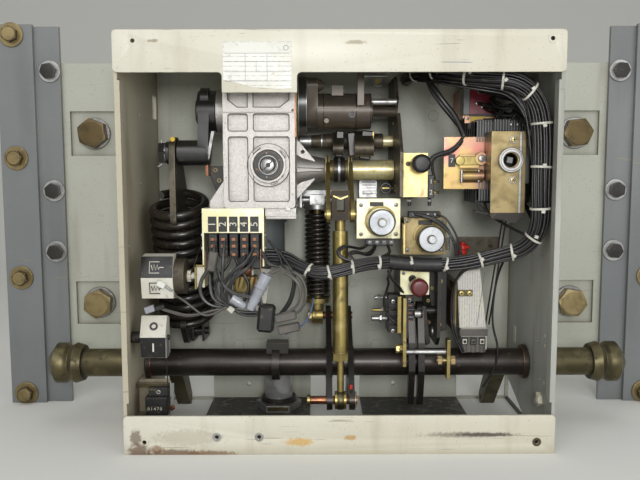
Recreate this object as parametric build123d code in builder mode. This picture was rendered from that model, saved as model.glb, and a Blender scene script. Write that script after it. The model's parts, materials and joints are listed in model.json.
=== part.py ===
from build123d import *
from math import atan2, cos, hypot, pi, radians, sin, tan
import os

# Spring-operated mechanism of a medium-voltage circuit breaker, in its open-fronted housing.
# Millimetres, +X right, +Y into the housing, +Z up. Places are counted from the floor under the
# middle of the front lips; each piece is written about the middle of the whole footprint.

os.makedirs("parts", exist_ok=True)

# Housing
pole_pitch = 210.0
slot_width = 71.0
slot_margin = 4.5
roof_rise = 80.0
box_depth = 198.0
sheet = 3.0
wall = 4.0
lip_height = 46.0
lip_hole_radius = 2.6
corner_radius = 5.0
hem_width = 6.5
hem_depth = 14.0
hem_bottom = 60.0
hem_top_margin = 54.0
tab_left = -130.0
tab_right = -47.0
tab_drop = 22.0
wall_hole_radius = 2.6
slot_top = 62.0
slot_front_y = 60.0

# Rear plate, wings and side strips
plate = 5.0
wing_reach = 154.0
wing_bottom = 41.0
wing_top_margin = 6.0
window_width = 65.0
window_height = 61.0
window_reach = 85.0
window_low_rise = 101.0
window_high_drop = 96.0
pad_thickness = 6.0
pad_half_width = 44.0
bolt_washer_radius = 22.0
bolt_across_flats = 36.0
strip_height = 526.0
strip_thickness = 6.0
inner_strip_reach = 127.0
inner_strip_width = 53.0
outer_strip_reach = 161.0
outer_strip_width = 49.0
fixing_inset = 28.0
fixing_margin = 14.0
fixing_rows = 4
fixing_radius = 6.6
clamp_inset = 14.0
clamp_radius = 5.5
clamp_end_margin = 12.0
clamp_middle_spread = 85.0

# Main shaft, its levers and the push rod
shaft_y = 108.0
shaft_z = 80.0
shaft_radius = 17.5
shaft_overhang = 90.0
collar_radius = 22.0
collar_width = 5.0
lever_thickness = 7.0
left_lever_x = -14.0
right_lever_x = 13.5
hub_radius = 23.0
rod_pin_y = 56.0
rod_pin_z = 46.0
rear_space = 38.0
spring_pin_z = 131.0
pin_radius = 5.0
eye_clearance = 1.6
fork_clearance = 0.4
pole_arm = 85.0
pole_arm_angle = -50.0
pole_lever_width = 18.0
damper_x = -79.0
damper_radius = 19.0
rod_x = 3.0
rod_radius = 9.6

# Follower lever
follower_y = 128.0
lever_rise = 249.0
follower_tube_radius = 13.0
follower_shaft_radius = 8.0
follower_left = -14.0
cheek_thickness = 5.0
fork_pin_y = 66.0
fork_pin_drop = 54.0

# Closing shaft, crank and gear case
closing_y = 105.0
closing_rise = 73.0
closing_radius = 13.0
crank_pin_y = 82.0
crank_pin_drop = 52.0
case_left = -135.0
case_right = -51.0
case_front = 40.0
case_bottom_drop = 45.0
case_top_rise = 43.0
pocket_depth = 6.0
pocket_corner = 3.0
boss_x = -82.0
boss_rise = 50.5
boss_radius = 20.4
boss_height = 8.0
coupling_radius = 7.2
motor_radius = 30.0

# Closing spring, leaning back from the crank to the rear plate
spring_wire = 5.7
spring_pitch = 12.8
spring_room = 8.0
spring_low_z = 131.0
spring_high_y = 100.0
spring_drop = 59.0
spring_plate = 7.0
spring_tail = 0.15
wire_clearance = 0.4

# Opening spring
opening_x = -25.0
opening_wire = 2.6
opening_pitch = 6.1
opening_radius = 15.0
opening_bottom = 156.4
trunnion_radius = 5.0
guide_radius = 5.0

# Bearing plate, knobs and coils
bearing_x = 74.0
bearing_plate = 4.0
knob_x = 97.0
knob_radius = 11.0
knob_length = 16.0
knob_stem = 4.0
trip_x = 98.0
coil_front = 95.0
cable_radius = 8.5

# Small running and seating gaps
slide_gap = 0.3
hinge_gap = 0.05


def block(x0, x1, y0, y1, z0, z1, mode=Mode.ADD):
    """A rectangular block between two corners, in the part being built."""
    with Locations(((x0 + x1) / 2, (y0 + y1) / 2, (z0 + z1) / 2)):
        Box(x1 - x0, y1 - y0, z1 - z0, mode=mode)


def bar_x(y, z, radius, x0, x1, mode=Mode.ADD):
    """A round bar or hole along X."""
    with Locations(Location((x0, y, z), (0, 90, 0))):
        Cylinder(radius, x1 - x0, align=(Align.CENTER, Align.CENTER, Align.MIN), mode=mode)


def cone_x(y, z, start_radius, end_radius, x0, x1):
    """A round taper along X."""
    with Locations(Location((x0, y, z), (0, 90, 0))):
        Cone(start_radius, end_radius, x1 - x0, align=(Align.CENTER, Align.CENTER, Align.MIN))


def bar_y(x, z, radius, y0, y1, mode=Mode.ADD):
    """A round bar or hole along Y."""
    with Locations(Location((x, y0, z), (-90, 0, 0))):
        Cylinder(radius, y1 - y0, align=(Align.CENTER, Align.CENTER, Align.MIN), mode=mode)


def bar_z(x, y, radius, z0, z1, mode=Mode.ADD):
    """A round bar or hole along Z."""
    with Locations((x, y, z0)):
        Cylinder(radius, z1 - z0, align=(Align.CENTER, Align.CENTER, Align.MIN), mode=mode)


def nut_x(y, z, across_flats, x0, x1):
    """A hexagon nut or head along X."""
    with BuildSketch(Plane.YZ.offset(x0)) as outline:
        with Locations((y, z)):
            RegularPolygon(across_flats / 2, 6, major_radius=False)
    extrude(outline.sketch, amount=x1 - x0)


def side_plate(points, x0, x1, mode=Mode.ADD):
    """A plate across X whose outline is given as (y, z) points."""
    with BuildSketch(Plane.YZ.offset(x0)) as outline:
        with BuildLine():
            Polyline(*points, close=True)
        make_face()
    extrude(outline.sketch, amount=x1 - x0, mode=mode)


def front_plate(points, y_front, depth, mode=Mode.ADD):
    """A plate facing the viewer whose outline is given as (x, z) points."""
    with BuildSketch(Plane.XZ.offset(-(y_front + depth))) as outline:
        with BuildLine():
            Polyline(*points, close=True)
        make_face()
    extrude(outline.sketch, amount=depth, mode=mode)


def link_plate(ends, x0, x1, mode=Mode.ADD):
    """A link across X: the hull of circles given as (y, z, radius)."""
    with BuildSketch(Plane.YZ.offset(x0)) as outline:
        for y, z, radius in ends:
            with Locations((y, z)):
                Circle(radius)
        make_hull()
    extrude(outline.sketch, amount=x1 - x0, mode=mode)


def tube(points, radius, largest_bend=60.0):
    """A round cable through the points, each bend as large as its two runs allow."""
    corners = [Vector(*point) for point in points]
    radii = []
    for before, here, after in zip(corners, corners[1:], corners[2:]):
        turn = radians((here - before).get_angle(after - here))
        run = min((here - before).length, (after - here).length)
        radii.append(min(largest_bend, 0.45 * run / tan(turn / 2)))
    with BuildPart() as cable:
        with BuildLine() as route:
            FilletPolyline(*points, radius=radii)
        with BuildSketch(Plane(origin=route.line @ 0, z_dir=route.line % 0)):
            Circle(radius)
        sweep(transition=Transition.RIGHT)
    length = sum(edge.length for edge in route.edges())
    print("cable radii", [round(value) for value in radii],
          "volume share", round(cable.part.volume / (pi * radius ** 2 * length), 4))
    return cable.part


def write(piece, name):
    """Move the piece to the part's frame, label it and write it to its own file."""
    placed = piece.moved(Location((0, -footprint_middle, 0)))
    placed.label = name
    export_step(placed, f"parts/{name}.step")


# What follows from the driving sizes
half_width = pole_pitch + slot_width / 2 + slot_margin
box_width = 2 * half_width
inner_half = half_width - wall
follower_z = shaft_z + lever_rise
closing_z = follower_z + closing_rise
box_height = closing_z + roof_rise
footprint_middle = (box_depth + plate + pad_thickness) / 2
slot_centres = (-pole_pitch, 0, pole_pitch)
wing_span = half_width + wing_reach
wing_top = box_height - wing_top_margin
window_x = half_width + window_reach
window_heights = (wing_bottom + window_low_rise, wing_top - window_high_drop)
clamp_x = half_width + inner_strip_reach + clamp_inset
wing_middle = (wing_bottom + wing_top) / 2
clamp_heights = (wing_bottom + clamp_end_margin, wing_middle - clamp_middle_spread / 2,
                 wing_middle + clamp_middle_spread / 2, wing_top - clamp_end_margin)
fixing_x = half_width + outer_strip_reach + fixing_inset
fixing_pitch = (strip_height - 2 * fixing_margin) / (fixing_rows - 1)
shaft_reach = half_width + shaft_overhang
spring_pin_y = box_depth - rear_space
damper_y = box_depth - rear_space
crank_pin_z = closing_z - crank_pin_drop
fork_pin_z = follower_z - fork_pin_drop
case_bottom = follower_z - case_bottom_drop
case_top = closing_z + case_top_rise
boss_z = case_bottom + boss_rise
bearing_bottom = follower_z - 32
bearing_end = bearing_x + bearing_plate

# Top panel: lip with rounded outer corners and the drop tab for the label, and the roof
with BuildPart() as top_panel:
    with BuildSketch(Plane.XZ.offset(-sheet)) as top_face:
        with Locations((0, box_height - lip_height / 2)):
            Rectangle(box_width, lip_height)
        tab_middle = (tab_left + tab_right) / 2
        tab_top = box_height - lip_height
        with Locations((tab_middle, tab_top - tab_drop / 2)):
            Rectangle(tab_right - tab_left, tab_drop)
        outer = top_face.vertices().group_by(Axis.X)[0] + top_face.vertices().group_by(Axis.X)[-1]
        fillet(outer, corner_radius)
        inner = [v for v in top_face.vertices() if abs(v.Y - tab_top) < 0.1 and abs(v.X - tab_middle) < 60]
        fillet(inner, corner_radius)
        with Locations((-half_width + 23, box_height - 12), (half_width - 16, box_height - 10)):
            Circle(lip_hole_radius, mode=Mode.SUBTRACT)
    extrude(amount=sheet)
    block(-half_width, half_width, sheet, box_depth, box_height - sheet, box_height)
write(top_panel.part, "top_panel")

# Bottom panel: lip and slotted floor
with BuildPart() as bottom_panel:
    with BuildSketch(Plane.XZ.offset(-sheet)) as bottom_face:
        with Locations((0, lip_height / 2)):
            Rectangle(box_width, lip_height)
        fillet(bottom_face.vertices().sort_by(Axis.Y)[-2:], corner_radius)
        with Locations((-half_width + 24, 15), (-142, 21), (-93, 21), (half_width - 21, 14)):
            Circle(lip_hole_radius, mode=Mode.SUBTRACT)
    extrude(amount=sheet)
    block(-half_width, half_width, sheet, box_depth, 0, sheet)
    for centre in slot_centres:
        block(centre - slot_width / 2, centre + slot_width / 2, slot_front_y, box_depth, -1, sheet + 1,
              mode=Mode.SUBTRACT)
write(bottom_panel.part, "bottom_panel")

# Side walls: hemmed front edge, sloping rear foot, shaft hole, small fixing holes
wall_holes = {"left_wall": ((97.5, closing_z - 4.5), (94, closing_z - 89), (32, 240), (18, closing_z + 10)),
              "right_wall": ((33, 131), (58.5, 119), (47, 74), (32.5, 119))}
for side, name in ((-1, "left_wall"), (1, "right_wall")):
    outer_x = side * half_width
    inner_x = side * inner_half
    hem_x = side * (half_width - hem_width)
    near_x, far_x = sorted((outer_x, inner_x))
    with BuildPart() as side_wall:
        side_plate([(sheet, sheet), (110, sheet), (118, 9), (box_depth, 38), (box_depth, box_height - sheet),
                    (sheet, box_height - sheet)], near_x, far_x)
        block(min(hem_x, inner_x), max(hem_x, inner_x), sheet, sheet + hem_depth, hem_bottom,
              box_height - hem_top_margin)
        bar_x(shaft_y, shaft_z, shaft_radius + hinge_gap, near_x, far_x, mode=Mode.SUBTRACT)
        for y, z in wall_holes[name]:
            bar_x(y, z, wall_hole_radius, near_x, far_x, mode=Mode.SUBTRACT)
        if side < 0:
            block(near_x, far_x, box_depth - 30, box_depth - 8, closing_z - 4, closing_z + 28,
                  mode=Mode.SUBTRACT)
        else:
            block(near_x, far_x, box_depth - 38, box_depth - 34, 93, 109, mode=Mode.SUBTRACT)
    write(side_wall.part, name)

# Rear plate with wings, two windows a side, three lever openings and three pressed discs
with BuildPart() as rear_plate:
    with BuildSketch(Plane.XZ.offset(-(box_depth + plate))) as rear_face:
        with Locations((0, box_height / 2)):
            Rectangle(box_width, box_height)
        with Locations((0, wing_middle)):
            Rectangle(2 * wing_span, wing_top - wing_bottom)
        with Locations(*[(side * window_x, z) for side in (-1, 1) for z in window_heights]):
            Rectangle(window_width, window_height, mode=Mode.SUBTRACT)
        with Locations(*[(centre, (sheet + slot_top) / 2) for centre in slot_centres]):
            Rectangle(slot_width, slot_top - sheet, mode=Mode.SUBTRACT)
        with Locations(*[(side * clamp_x, z) for side in (-1, 1) for z in clamp_heights]):
            Circle(clamp_radius, mode=Mode.SUBTRACT)
        with Locations((-124, 23), (83.5, 23.5)):
            Circle(3.2, mode=Mode.SUBTRACT)
    extrude(amount=plate)
    for x in (-138, -59.5, 58.5):
        bar_y(x, shaft_z, 7, box_depth - 1.5, box_depth)
write(rear_plate.part, "rear_plate")

# Pads behind the windows, which take the large bolts
bolt_seat = box_depth + plate
with BuildPart() as window_pads:
    for side in (-1, 1):
        for z in window_heights:
            middle = side * window_x
            block(middle - pad_half_width, middle + pad_half_width, bolt_seat, bolt_seat + pad_thickness,
                  z - pad_half_width + 2, z + pad_half_width - 2)
write(window_pads.part, "window_pads")

with BuildPart() as frame_bolts:
    for side in (-1, 1):
        for z in window_heights:
            bar_y(side * window_x, z, bolt_washer_radius, bolt_seat - 4, bolt_seat)
            with BuildSketch(Plane.XZ.offset(-(bolt_seat - 4))) as head:
                with Locations((side * window_x, z)):
                    RegularPolygon(bolt_across_flats / 2, 6, major_radius=False, rotation=12 + 5 * side)
            extrude(head.sketch, amount=15)
write(frame_bolts.part, "frame_bolts")

# Side strips: two flat bars a side, the outer one lapped over the inner one
lap_y = box_depth - strip_thickness
with BuildPart() as inner_strips:
    for side in (-1, 1):
        start = half_width + inner_strip_reach
        low, high = sorted((side * start, side * (start + inner_strip_width)))
        block(low, high, lap_y, box_depth, 0, strip_height - 2)
        for z in clamp_heights:
            bar_y(side * clamp_x, z, clamp_radius, lap_y, box_depth, mode=Mode.SUBTRACT)
write(inner_strips.part, "inner_strips")

with BuildPart() as outer_strips:
    for side in (-1, 1):
        start = half_width + outer_strip_reach
        low, high = sorted((side * start, side * (start + outer_strip_width)))
        block(low, high, lap_y - strip_thickness, lap_y, 0, strip_height)
        for row in range(fixing_rows):
            bar_y(side * fixing_x, fixing_margin + row * fixing_pitch, fixing_radius,
                  lap_y - strip_thickness, lap_y, mode=Mode.SUBTRACT)
write(outer_strips.part, "outer_strips")

# Gear case: two-part casting with a pocketed front, ribs and bearing bosses
pocket_left = (case_left + 6, case_left + 29)
pocket_right = (case_left + 35.5, case_right - 6.5)
split_z = closing_z - 6.5
with BuildPart() as gear_case:
    block(case_left, case_right, case_front, box_depth - 10, case_bottom, case_top)
    block(case_left - 14, case_right + 2, box_depth - 10, box_depth, case_bottom - 6, case_top + 8)
    fillet(gear_case.edges().filter_by(Axis.Y).group_by(Axis.Z)[1], 4)
    with BuildSketch(Plane.XZ.offset(-case_front)) as pockets:
        for (x0, x1), z0, z1 in ((pocket_left, case_bottom + 8, follower_z + 38.5),
                                 (pocket_right, case_bottom + 8, follower_z + 38.5),
                                 (pocket_left, follower_z + 45, split_z - 1.5),
                                 (pocket_right, follower_z + 45, split_z - 1.5)):
            with Locations(((x0 + x1) / 2, (z0 + z1) / 2)):
                Rectangle(x1 - x0, z1 - z0)
        for (near, far), toward in ((pocket_left, 1), (pocket_right[::-1], -1)):
            with BuildLine():
                Polyline((near, case_top - 6), (near, split_z + 14.5), (near + toward * 11, split_z + 6),
                         (far, split_z + 6), (far, case_top - 6), close=True)
            make_face()
        fillet(pockets.vertices(), pocket_corner)
        with Locations((boss_x, boss_z)):
            Circle(boss_radius + 5, mode=Mode.SUBTRACT)
    extrude(pockets.sketch, amount=-pocket_depth, mode=Mode.SUBTRACT)
    block(case_left, case_right, case_front, case_front + 1, split_z - 0.4, split_z + 0.4, mode=Mode.SUBTRACT)
    bar_y(boss_x, boss_z, boss_radius, case_front - boss_height, case_front + 30)
    bar_y(boss_x, boss_z, boss_radius - 2.4, case_front - boss_height, case_front - boss_height + 2,
          mode=Mode.SUBTRACT)
    bar_y(boss_x, boss_z, coupling_radius + 3, case_front - boss_height, case_front + 14, mode=Mode.SUBTRACT)
    bar_y(boss_x, boss_z, coupling_radius + hinge_gap, case_front, case_front + 40, mode=Mode.SUBTRACT)
    bar_x(closing_y, closing_z, 27, case_left - 14, case_left)
    bar_x(closing_y, closing_z, 30, case_right, case_right + 3)
    bar_x(closing_y, closing_z, closing_radius + 1, case_left - 14, case_right + 3, mode=Mode.SUBTRACT)
    bearing_start = follower_left - 14
    bar_x(follower_y, follower_z, 13.7, bearing_start, bearing_start + 10.5)
    cone_x(follower_y, follower_z, 17, 9, case_right, bearing_start)
    web_y = follower_y - 14
    front_plate([(case_right, follower_z + 39.5), (bearing_start, follower_z + 12),
                 (bearing_start, follower_z - 12), (case_right, follower_z - 37)], web_y, 6)
    with BuildSketch(Plane.XY.offset(follower_z - 2.5)) as middle_rib:
        with BuildLine():
            Polyline((case_right, follower_y - 24), (bearing_start, follower_y - 12),
                     (bearing_start, follower_y + 12), (case_right, follower_y + 24), close=True)
        make_face()
    extrude(middle_rib.sketch, amount=5)
    bar_y(case_right + 7.5, follower_z + 23, 2.4, web_y, web_y + 6, mode=Mode.SUBTRACT)
    front_plate([(case_left, case_bottom + 33), (case_left - 17.5, case_bottom + 8),
                 (case_left - 17.5, case_bottom), (case_left, case_bottom)], case_front + 6, 10)
    block(case_left + 48, case_right + 1, case_front + 4, case_front + 60, case_bottom - 10, case_bottom)
write(gear_case.part, "gear_case")

# Hand crank coupling in the boss of the gear case
with BuildPart() as crank_coupling:
    bar_y(boss_x, boss_z, coupling_radius, case_front - 7, case_front + 38)
    with Locations(Location((boss_x, case_front - 7, boss_z), (0, 45, 0))):
        Box(16, 8, 3, mode=Mode.SUBTRACT)
    bar_y(boss_x, boss_z, 1.6, case_front - 7, case_front + 2, mode=Mode.SUBTRACT)
write(crank_coupling.part, "crank_coupling")

# Drive motor under the gear case
motor_x = case_left + 37
motor_y = case_front + 92
with BuildPart() as motor:
    bar_z(motor_x, motor_y, motor_radius, case_bottom - 78, case_bottom - 22)
    bar_z(motor_x, motor_y, motor_radius + 3, case_bottom - 22, case_bottom - 14)
    bar_z(motor_x, motor_y, motor_radius - 4, case_bottom - 14, case_bottom)
    bar_z(motor_x, motor_y, 12, case_bottom - 84, case_bottom - 78)
write(motor.part, "motor")

# Bearing plate for the closing and follower shafts, with a stop rod
with BuildPart() as bearing_plate_part:
    side_plate([(130, closing_z + 46), (box_depth, closing_z + 46), (box_depth, bearing_bottom),
                (55, bearing_bottom), (55, bearing_bottom + 53)], bearing_x, bearing_end)
    bar_x(closing_y, closing_z, closing_radius, bearing_x, bearing_end, mode=Mode.SUBTRACT)
    bar_x(follower_y, follower_z, follower_shaft_radius, bearing_x, bearing_end, mode=Mode.SUBTRACT)
    bar_x(150, closing_z + 14, 4.5, bearing_x - 27, bearing_x)
write(bearing_plate_part.part, "bearing_plate")

# Closing shaft through the gear case, with cam, roller lever and keyed hub
with BuildPart() as closing_shaft:
    bar_x(closing_y, closing_z, closing_radius, case_left - 41, bearing_end)
write(closing_shaft.part, "closing_shaft")

cam_left = case_right + 4
cam_right = cam_left + 9
roller_y = closing_y - 20
roller_z = closing_z + 30
with BuildPart() as closing_cam:
    link_plate([(closing_y, closing_z, 29), (closing_y - 8, closing_z + 8, 33)], cam_left, cam_right)
    link_plate([(closing_y, closing_z, 20), (roller_y, roller_z, 9)], cam_right, cam_right + 14)
    cone_x(roller_y, roller_z, 8.5, 4, cam_right + 14, cam_right + 22)
    bar_x(closing_y, closing_z, 22, cam_right + 13, 42)
    block(-7, 7.5, closing_y - 12, closing_y + 12, closing_z + 18, closing_z + 31)
    block(24, 32, closing_y - 29, closing_y - 15, closing_z + 5, closing_z + 45)
    bar_x(closing_y, closing_z, closing_radius, cam_left, 42, mode=Mode.SUBTRACT)
    bar_y(18, closing_z - 4, 3, closing_y - 23, closing_y - 12, mode=Mode.SUBTRACT)
write(closing_cam.part, "closing_cam")

# The closing spring's axis, centred between the left wall and the gear case
spring_right = case_left - 19
spring_x = (spring_right - inner_half) / 2
spring_mean_radius = (spring_right + inner_half) / 2 - spring_room - spring_wire
spring_high_z = crank_pin_z - spring_drop
spring_low_y = box_depth - spring_room - spring_wire - spring_mean_radius
spring_lean = atan2(spring_low_y - spring_high_y, spring_high_z - spring_low_z)
spring_length = hypot(spring_low_y - spring_high_y, spring_high_z - spring_low_z)
spring_turns = round(spring_length / spring_pitch - spring_tail) + spring_tail


def wire_at(turn):
    """The middle of the wire as (y, z) at a whole turn (rear side) or half turn (front side)."""
    along = turn * spring_length / spring_turns
    across = spring_mean_radius if turn % 1 == 0 else -spring_mean_radius
    return (spring_low_y - along * sin(spring_lean) + across * cos(spring_lean),
            spring_low_z + along * cos(spring_lean) + across * sin(spring_lean))


# Closing crank on the left end of the closing shaft, with its castle nut
with BuildPart() as closing_crank:
    bar_x(closing_y, closing_z, 26, case_left - 37, case_left - 15)
    link_plate([(closing_y, closing_z, 24), (crank_pin_y, crank_pin_z, 15)], case_left - 35, case_left - 22)
    link_plate([(closing_y, closing_z, 16), (closing_y - 12, closing_z + 16, 12)], case_left - 33, case_left - 23)
    bar_x(crank_pin_y, crank_pin_z, 15.5, spring_x + 5, case_left - 25)
    bar_x(crank_pin_y, crank_pin_z, 7, spring_x - 18, spring_x + 5)
    bar_x(crank_pin_y, crank_pin_z, 14, spring_x - 9, spring_x - 5)
    nut_x(crank_pin_y, crank_pin_z, 24, spring_x - 18, spring_x - 9)
    bar_x(closing_y, closing_z, closing_radius, case_left - 37, case_left - 15, mode=Mode.SUBTRACT)
write(closing_crank.part, "closing_crank")

# Plate that hangs on the crank pin and takes the spring's upper turns in its holes
plate_x0 = spring_x - spring_plate / 2
plate_x1 = spring_x + spring_plate / 2
last_turn = round(spring_turns - spring_tail)
with BuildPart() as spring_strap:
    top_y, top_z = wire_at(last_turn)
    front_y, front_z = wire_at(last_turn - 0.5)
    rear_y, rear_z = wire_at(last_turn - 1)
    link_plate([(crank_pin_y, crank_pin_z, 19), (front_y - 2, front_z - 4, 7), (rear_y + 1, rear_z - 3, 7),
                (top_y + 2, top_z, 8)], plate_x0, plate_x1)
    for half in range(5):
        bar_x(*wire_at(last_turn - half / 2), spring_wire + wire_clearance, plate_x0, plate_x1, mode=Mode.SUBTRACT)
    bar_x(crank_pin_y, crank_pin_z, 7, plate_x0, plate_x1, mode=Mode.SUBTRACT)
write(spring_strap.part, "spring_strap")

# Closing spring
with BuildPart() as closing_spring:
    with BuildLine() as closing_helix:
        Helix(pitch=spring_length / spring_turns, height=spring_length, radius=spring_mean_radius,
              center=(spring_x, spring_low_y, spring_low_z),
              direction=(0, -sin(spring_lean), cos(spring_lean)))
    with BuildSketch(Plane(origin=closing_helix.line @ 0, z_dir=closing_helix.line % 0)):
        RegularPolygon(spring_wire, 6)
    sweep(is_frenet=True)
write(closing_spring.part, "closing_spring")

# Plate at the foot of the spring, bolted to its bracket on the rear plate
with BuildPart() as spring_anchor:
    front_y, front_z = wire_at(0.5)
    rear_y, rear_z = wire_at(1)
    link_plate([(front_y - 2, front_z, 8), (rear_y, rear_z, 8), (rear_y - 2, spring_low_z - 24, 8),
                (front_y + 16, spring_low_z - 24, 8)], plate_x0, plate_x1)
    for half in range(5):
        bar_x(*wire_at(half / 2), spring_wire + wire_clearance, plate_x0, plate_x1, mode=Mode.SUBTRACT)
    bar_x(rear_y - 14, spring_low_z - 22, 5, plate_x0 - 8, plate_x1 + 22)
    nut_x(rear_y - 14, spring_low_z - 22, 15, plate_x0 - 6, plate_x0)
    for x0 in (plate_x1, plate_x1 + 14):
        side_plate([(rear_y - 26, spring_low_z - 34), (rear_y - 26, spring_low_z - 12),
                    (box_depth, spring_low_z), (box_depth, spring_low_z - 36)], x0, x0 + 3)
    block(plate_x1, plate_x1 + 17, box_depth - 3, box_depth, spring_low_z - 36, spring_low_z)
write(spring_anchor.part, "spring_anchor")

# Intermediate shaft with its two latch levers
middle_y = 132.0
middle_z = follower_z + 37
with BuildPart() as latch_shaft:
    bar_x(middle_y, middle_z, 6.5, case_right, bearing_x)
    cone_x(middle_y, middle_z, 6.5, 9.5, case_right + 7, case_right + 38)
    bar_x(middle_y, middle_z, 10, -13, 60)
    link_plate([(middle_y, middle_z, 12), (middle_y - 22, middle_z - 10, 8)], -5, 8)
    link_plate([(middle_y, middle_z, 13), (middle_y - 26, middle_z - 10, 10)], 22, 46)
write(latch_shaft.part, "latch_shaft")

# Main shaft with end collars, and outer couplings
with BuildPart() as main_shaft:
    bar_x(shaft_y, shaft_z, shaft_radius, -shaft_reach, shaft_reach)
    for side in (-1, 1):
        low, high = sorted((side * (inner_half - 1), side * (inner_half - 1 - collar_width)))
        bar_x(shaft_y, shaft_z, collar_radius, low, high)
write(main_shaft.part, "main_shaft")

with BuildPart() as shaft_couplings:
    for side in (-1, 1):
        start = side * (shaft_reach - 12)
        with BuildSketch(Plane.XY.offset(shaft_z)) as half_section:
            with BuildLine():
                Polyline(
                    (start, shaft_y), (start, shaft_y + 23), (start + side * 10, shaft_y + 26),
                    (start + side * 17, shaft_y + 22), (start + side * 23, shaft_y + 26),
                    (start + side * 34, shaft_y + 26), (start + side * 40, shaft_y + 18),
                    (start + side * 44, shaft_y + 12), (start + side * 44, shaft_y), close=True)
            make_face()
        revolve(half_section.sketch, axis=Axis((0, shaft_y, shaft_z), (1, 0, 0)))
        low, high = sorted((start, side * shaft_reach))
        bar_x(shaft_y, shaft_z, shaft_radius, low, high, mode=Mode.SUBTRACT)
write(shaft_couplings.part, "shaft_couplings")

# Drive levers: two three-armed plates on the main shaft
with BuildPart() as drive_levers:
    for x0 in (left_lever_x, right_lever_x):
        x1 = x0 + lever_thickness
        link_plate([(shaft_y, shaft_z, hub_radius), (rod_pin_y, rod_pin_z, 12)], x0, x1)
        link_plate([(shaft_y, shaft_z, hub_radius), (spring_pin_y, spring_pin_z, 13)], x0, x1)
        link_plate([(shaft_y, shaft_z, hub_radius), (spring_pin_y - 4, 24, 12)], x0, x1)
        bar_x(shaft_y, shaft_z, shaft_radius, x0, x1, mode=Mode.SUBTRACT)
        bar_x(rod_pin_y, rod_pin_z, pin_radius, x0, x1, mode=Mode.SUBTRACT)
        bar_x(spring_pin_y, spring_pin_z, pin_radius, x0, x1, mode=Mode.SUBTRACT)
write(drive_levers.part, "drive_levers")

right_lever_end = right_lever_x + lever_thickness
with BuildPart() as lever_pins:
    bar_x(rod_pin_y, rod_pin_z, pin_radius, left_lever_x - 24, right_lever_end + 3)
    bar_x(spring_pin_y, spring_pin_z, pin_radius, left_lever_x - 19, right_lever_end + 2)
write(lever_pins.part, "lever_pins")

# Pole levers welded behind the shaft at the outer openings
tip_y = shaft_y + pole_arm * cos(radians(pole_arm_angle))
tip_z = shaft_z + pole_arm * sin(radians(pole_arm_angle))
with BuildPart() as pole_levers:
    for side in (-1, 1):
        x0 = side * pole_pitch - pole_lever_width / 2
        x1 = side * pole_pitch + pole_lever_width / 2
        link_plate([(shaft_y + 8, shaft_z - 8, shaft_radius - 4), (tip_y, tip_z, 9)], x0, x1)
        bar_x(shaft_y, shaft_z, shaft_radius, x0 - 8, x1 + 8, mode=Mode.SUBTRACT)
        bar_x(tip_y, tip_z, 4, x0, x1, mode=Mode.SUBTRACT)
write(pole_levers.part, "pole_levers")

# Damper on the floor and its lever on the shaft, under a clamping block
with BuildPart() as damper:
    with BuildSketch(Plane.XY.offset(sheet)):
        with Locations((damper_x, damper_y)):
            RegularPolygon(27, 6, major_radius=False)
    extrude(amount=9)
    bar_z(damper_x, damper_y, damper_radius, sheet, 52)
    bar_z(damper_x, damper_y, damper_radius - 3, 52, 58)
    bar_z(damper_x, damper_y, 4, 58, 66.8)
write(damper.part, "damper")

with BuildPart() as damper_lever:
    link_plate([(shaft_y, shaft_z, hub_radius), (damper_y, 81, 11.5)], damper_x - 5, damper_x + 5)
    block(damper_x - 12, damper_x + 16, shaft_y - 12, shaft_y + 8, shaft_z + 14, shaft_z + 28)
    bar_x(shaft_y, shaft_z, shaft_radius, damper_x - 12, damper_x + 16, mode=Mode.SUBTRACT)
write(damper_lever.part, "damper_lever")

# Follower lever: tube, roller and two cheeks that carry the fork pin
follower_right = bearing_x - 0.5
with BuildPart() as follower_lever:
    bar_x(follower_y, follower_z, follower_tube_radius, follower_left, follower_right)
    bar_x(follower_y, follower_z, follower_tube_radius + 2, -4, 11)
    for x0 in (follower_left, right_lever_x + 1.5):
        link_plate([(follower_y, follower_z, 19), (fork_pin_y, fork_pin_z, 10)], x0, x0 + cheek_thickness)
    bar_x(follower_y, follower_z, follower_shaft_radius + hinge_gap, follower_left, follower_right,
          mode=Mode.SUBTRACT)
    bar_x(fork_pin_y, fork_pin_z, pin_radius, follower_left - 2, right_lever_x + 8.5)
write(follower_lever.part, "follower_lever")

with BuildPart() as follower_shaft:
    bar_x(follower_y, follower_z, follower_shaft_radius, follower_left - 3.5, bearing_end)
write(follower_shaft.part, "follower_shaft")

# Push rod between the fork pin and the lower lever pin
rod_span = hypot(fork_pin_y - rod_pin_y, fork_pin_z - rod_pin_z)
rod_frame = Plane(origin=(rod_x, rod_pin_y, rod_pin_z), x_dir=(1, 0, 0),
                  z_dir=(0, fork_pin_y - rod_pin_y, fork_pin_z - rod_pin_z))
with BuildPart() as push_rod:
    with BuildSketch(rod_frame.offset(60)):
        Circle(rod_radius)
    extrude(amount=rod_span - 80)
    with BuildSketch(rod_frame.offset(50)):
        RegularPolygon(9, 6, major_radius=False, rotation=30)
    extrude(amount=10)
    with BuildSketch(rod_frame.offset(9)):
        Circle(4.2)
    extrude(amount=42)
    with BuildSketch(rod_frame.offset(rod_span - 20.2)):
        Circle(6.5)
    extrude(amount=13.2)
    bar_x(rod_pin_y, rod_pin_z, 11, rod_x - 7, rod_x + 7)
    bar_x(rod_pin_y, rod_pin_z, pin_radius + hinge_gap, rod_x - 8, rod_x + 8, mode=Mode.SUBTRACT)
write(push_rod.part, "push_rod")

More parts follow.
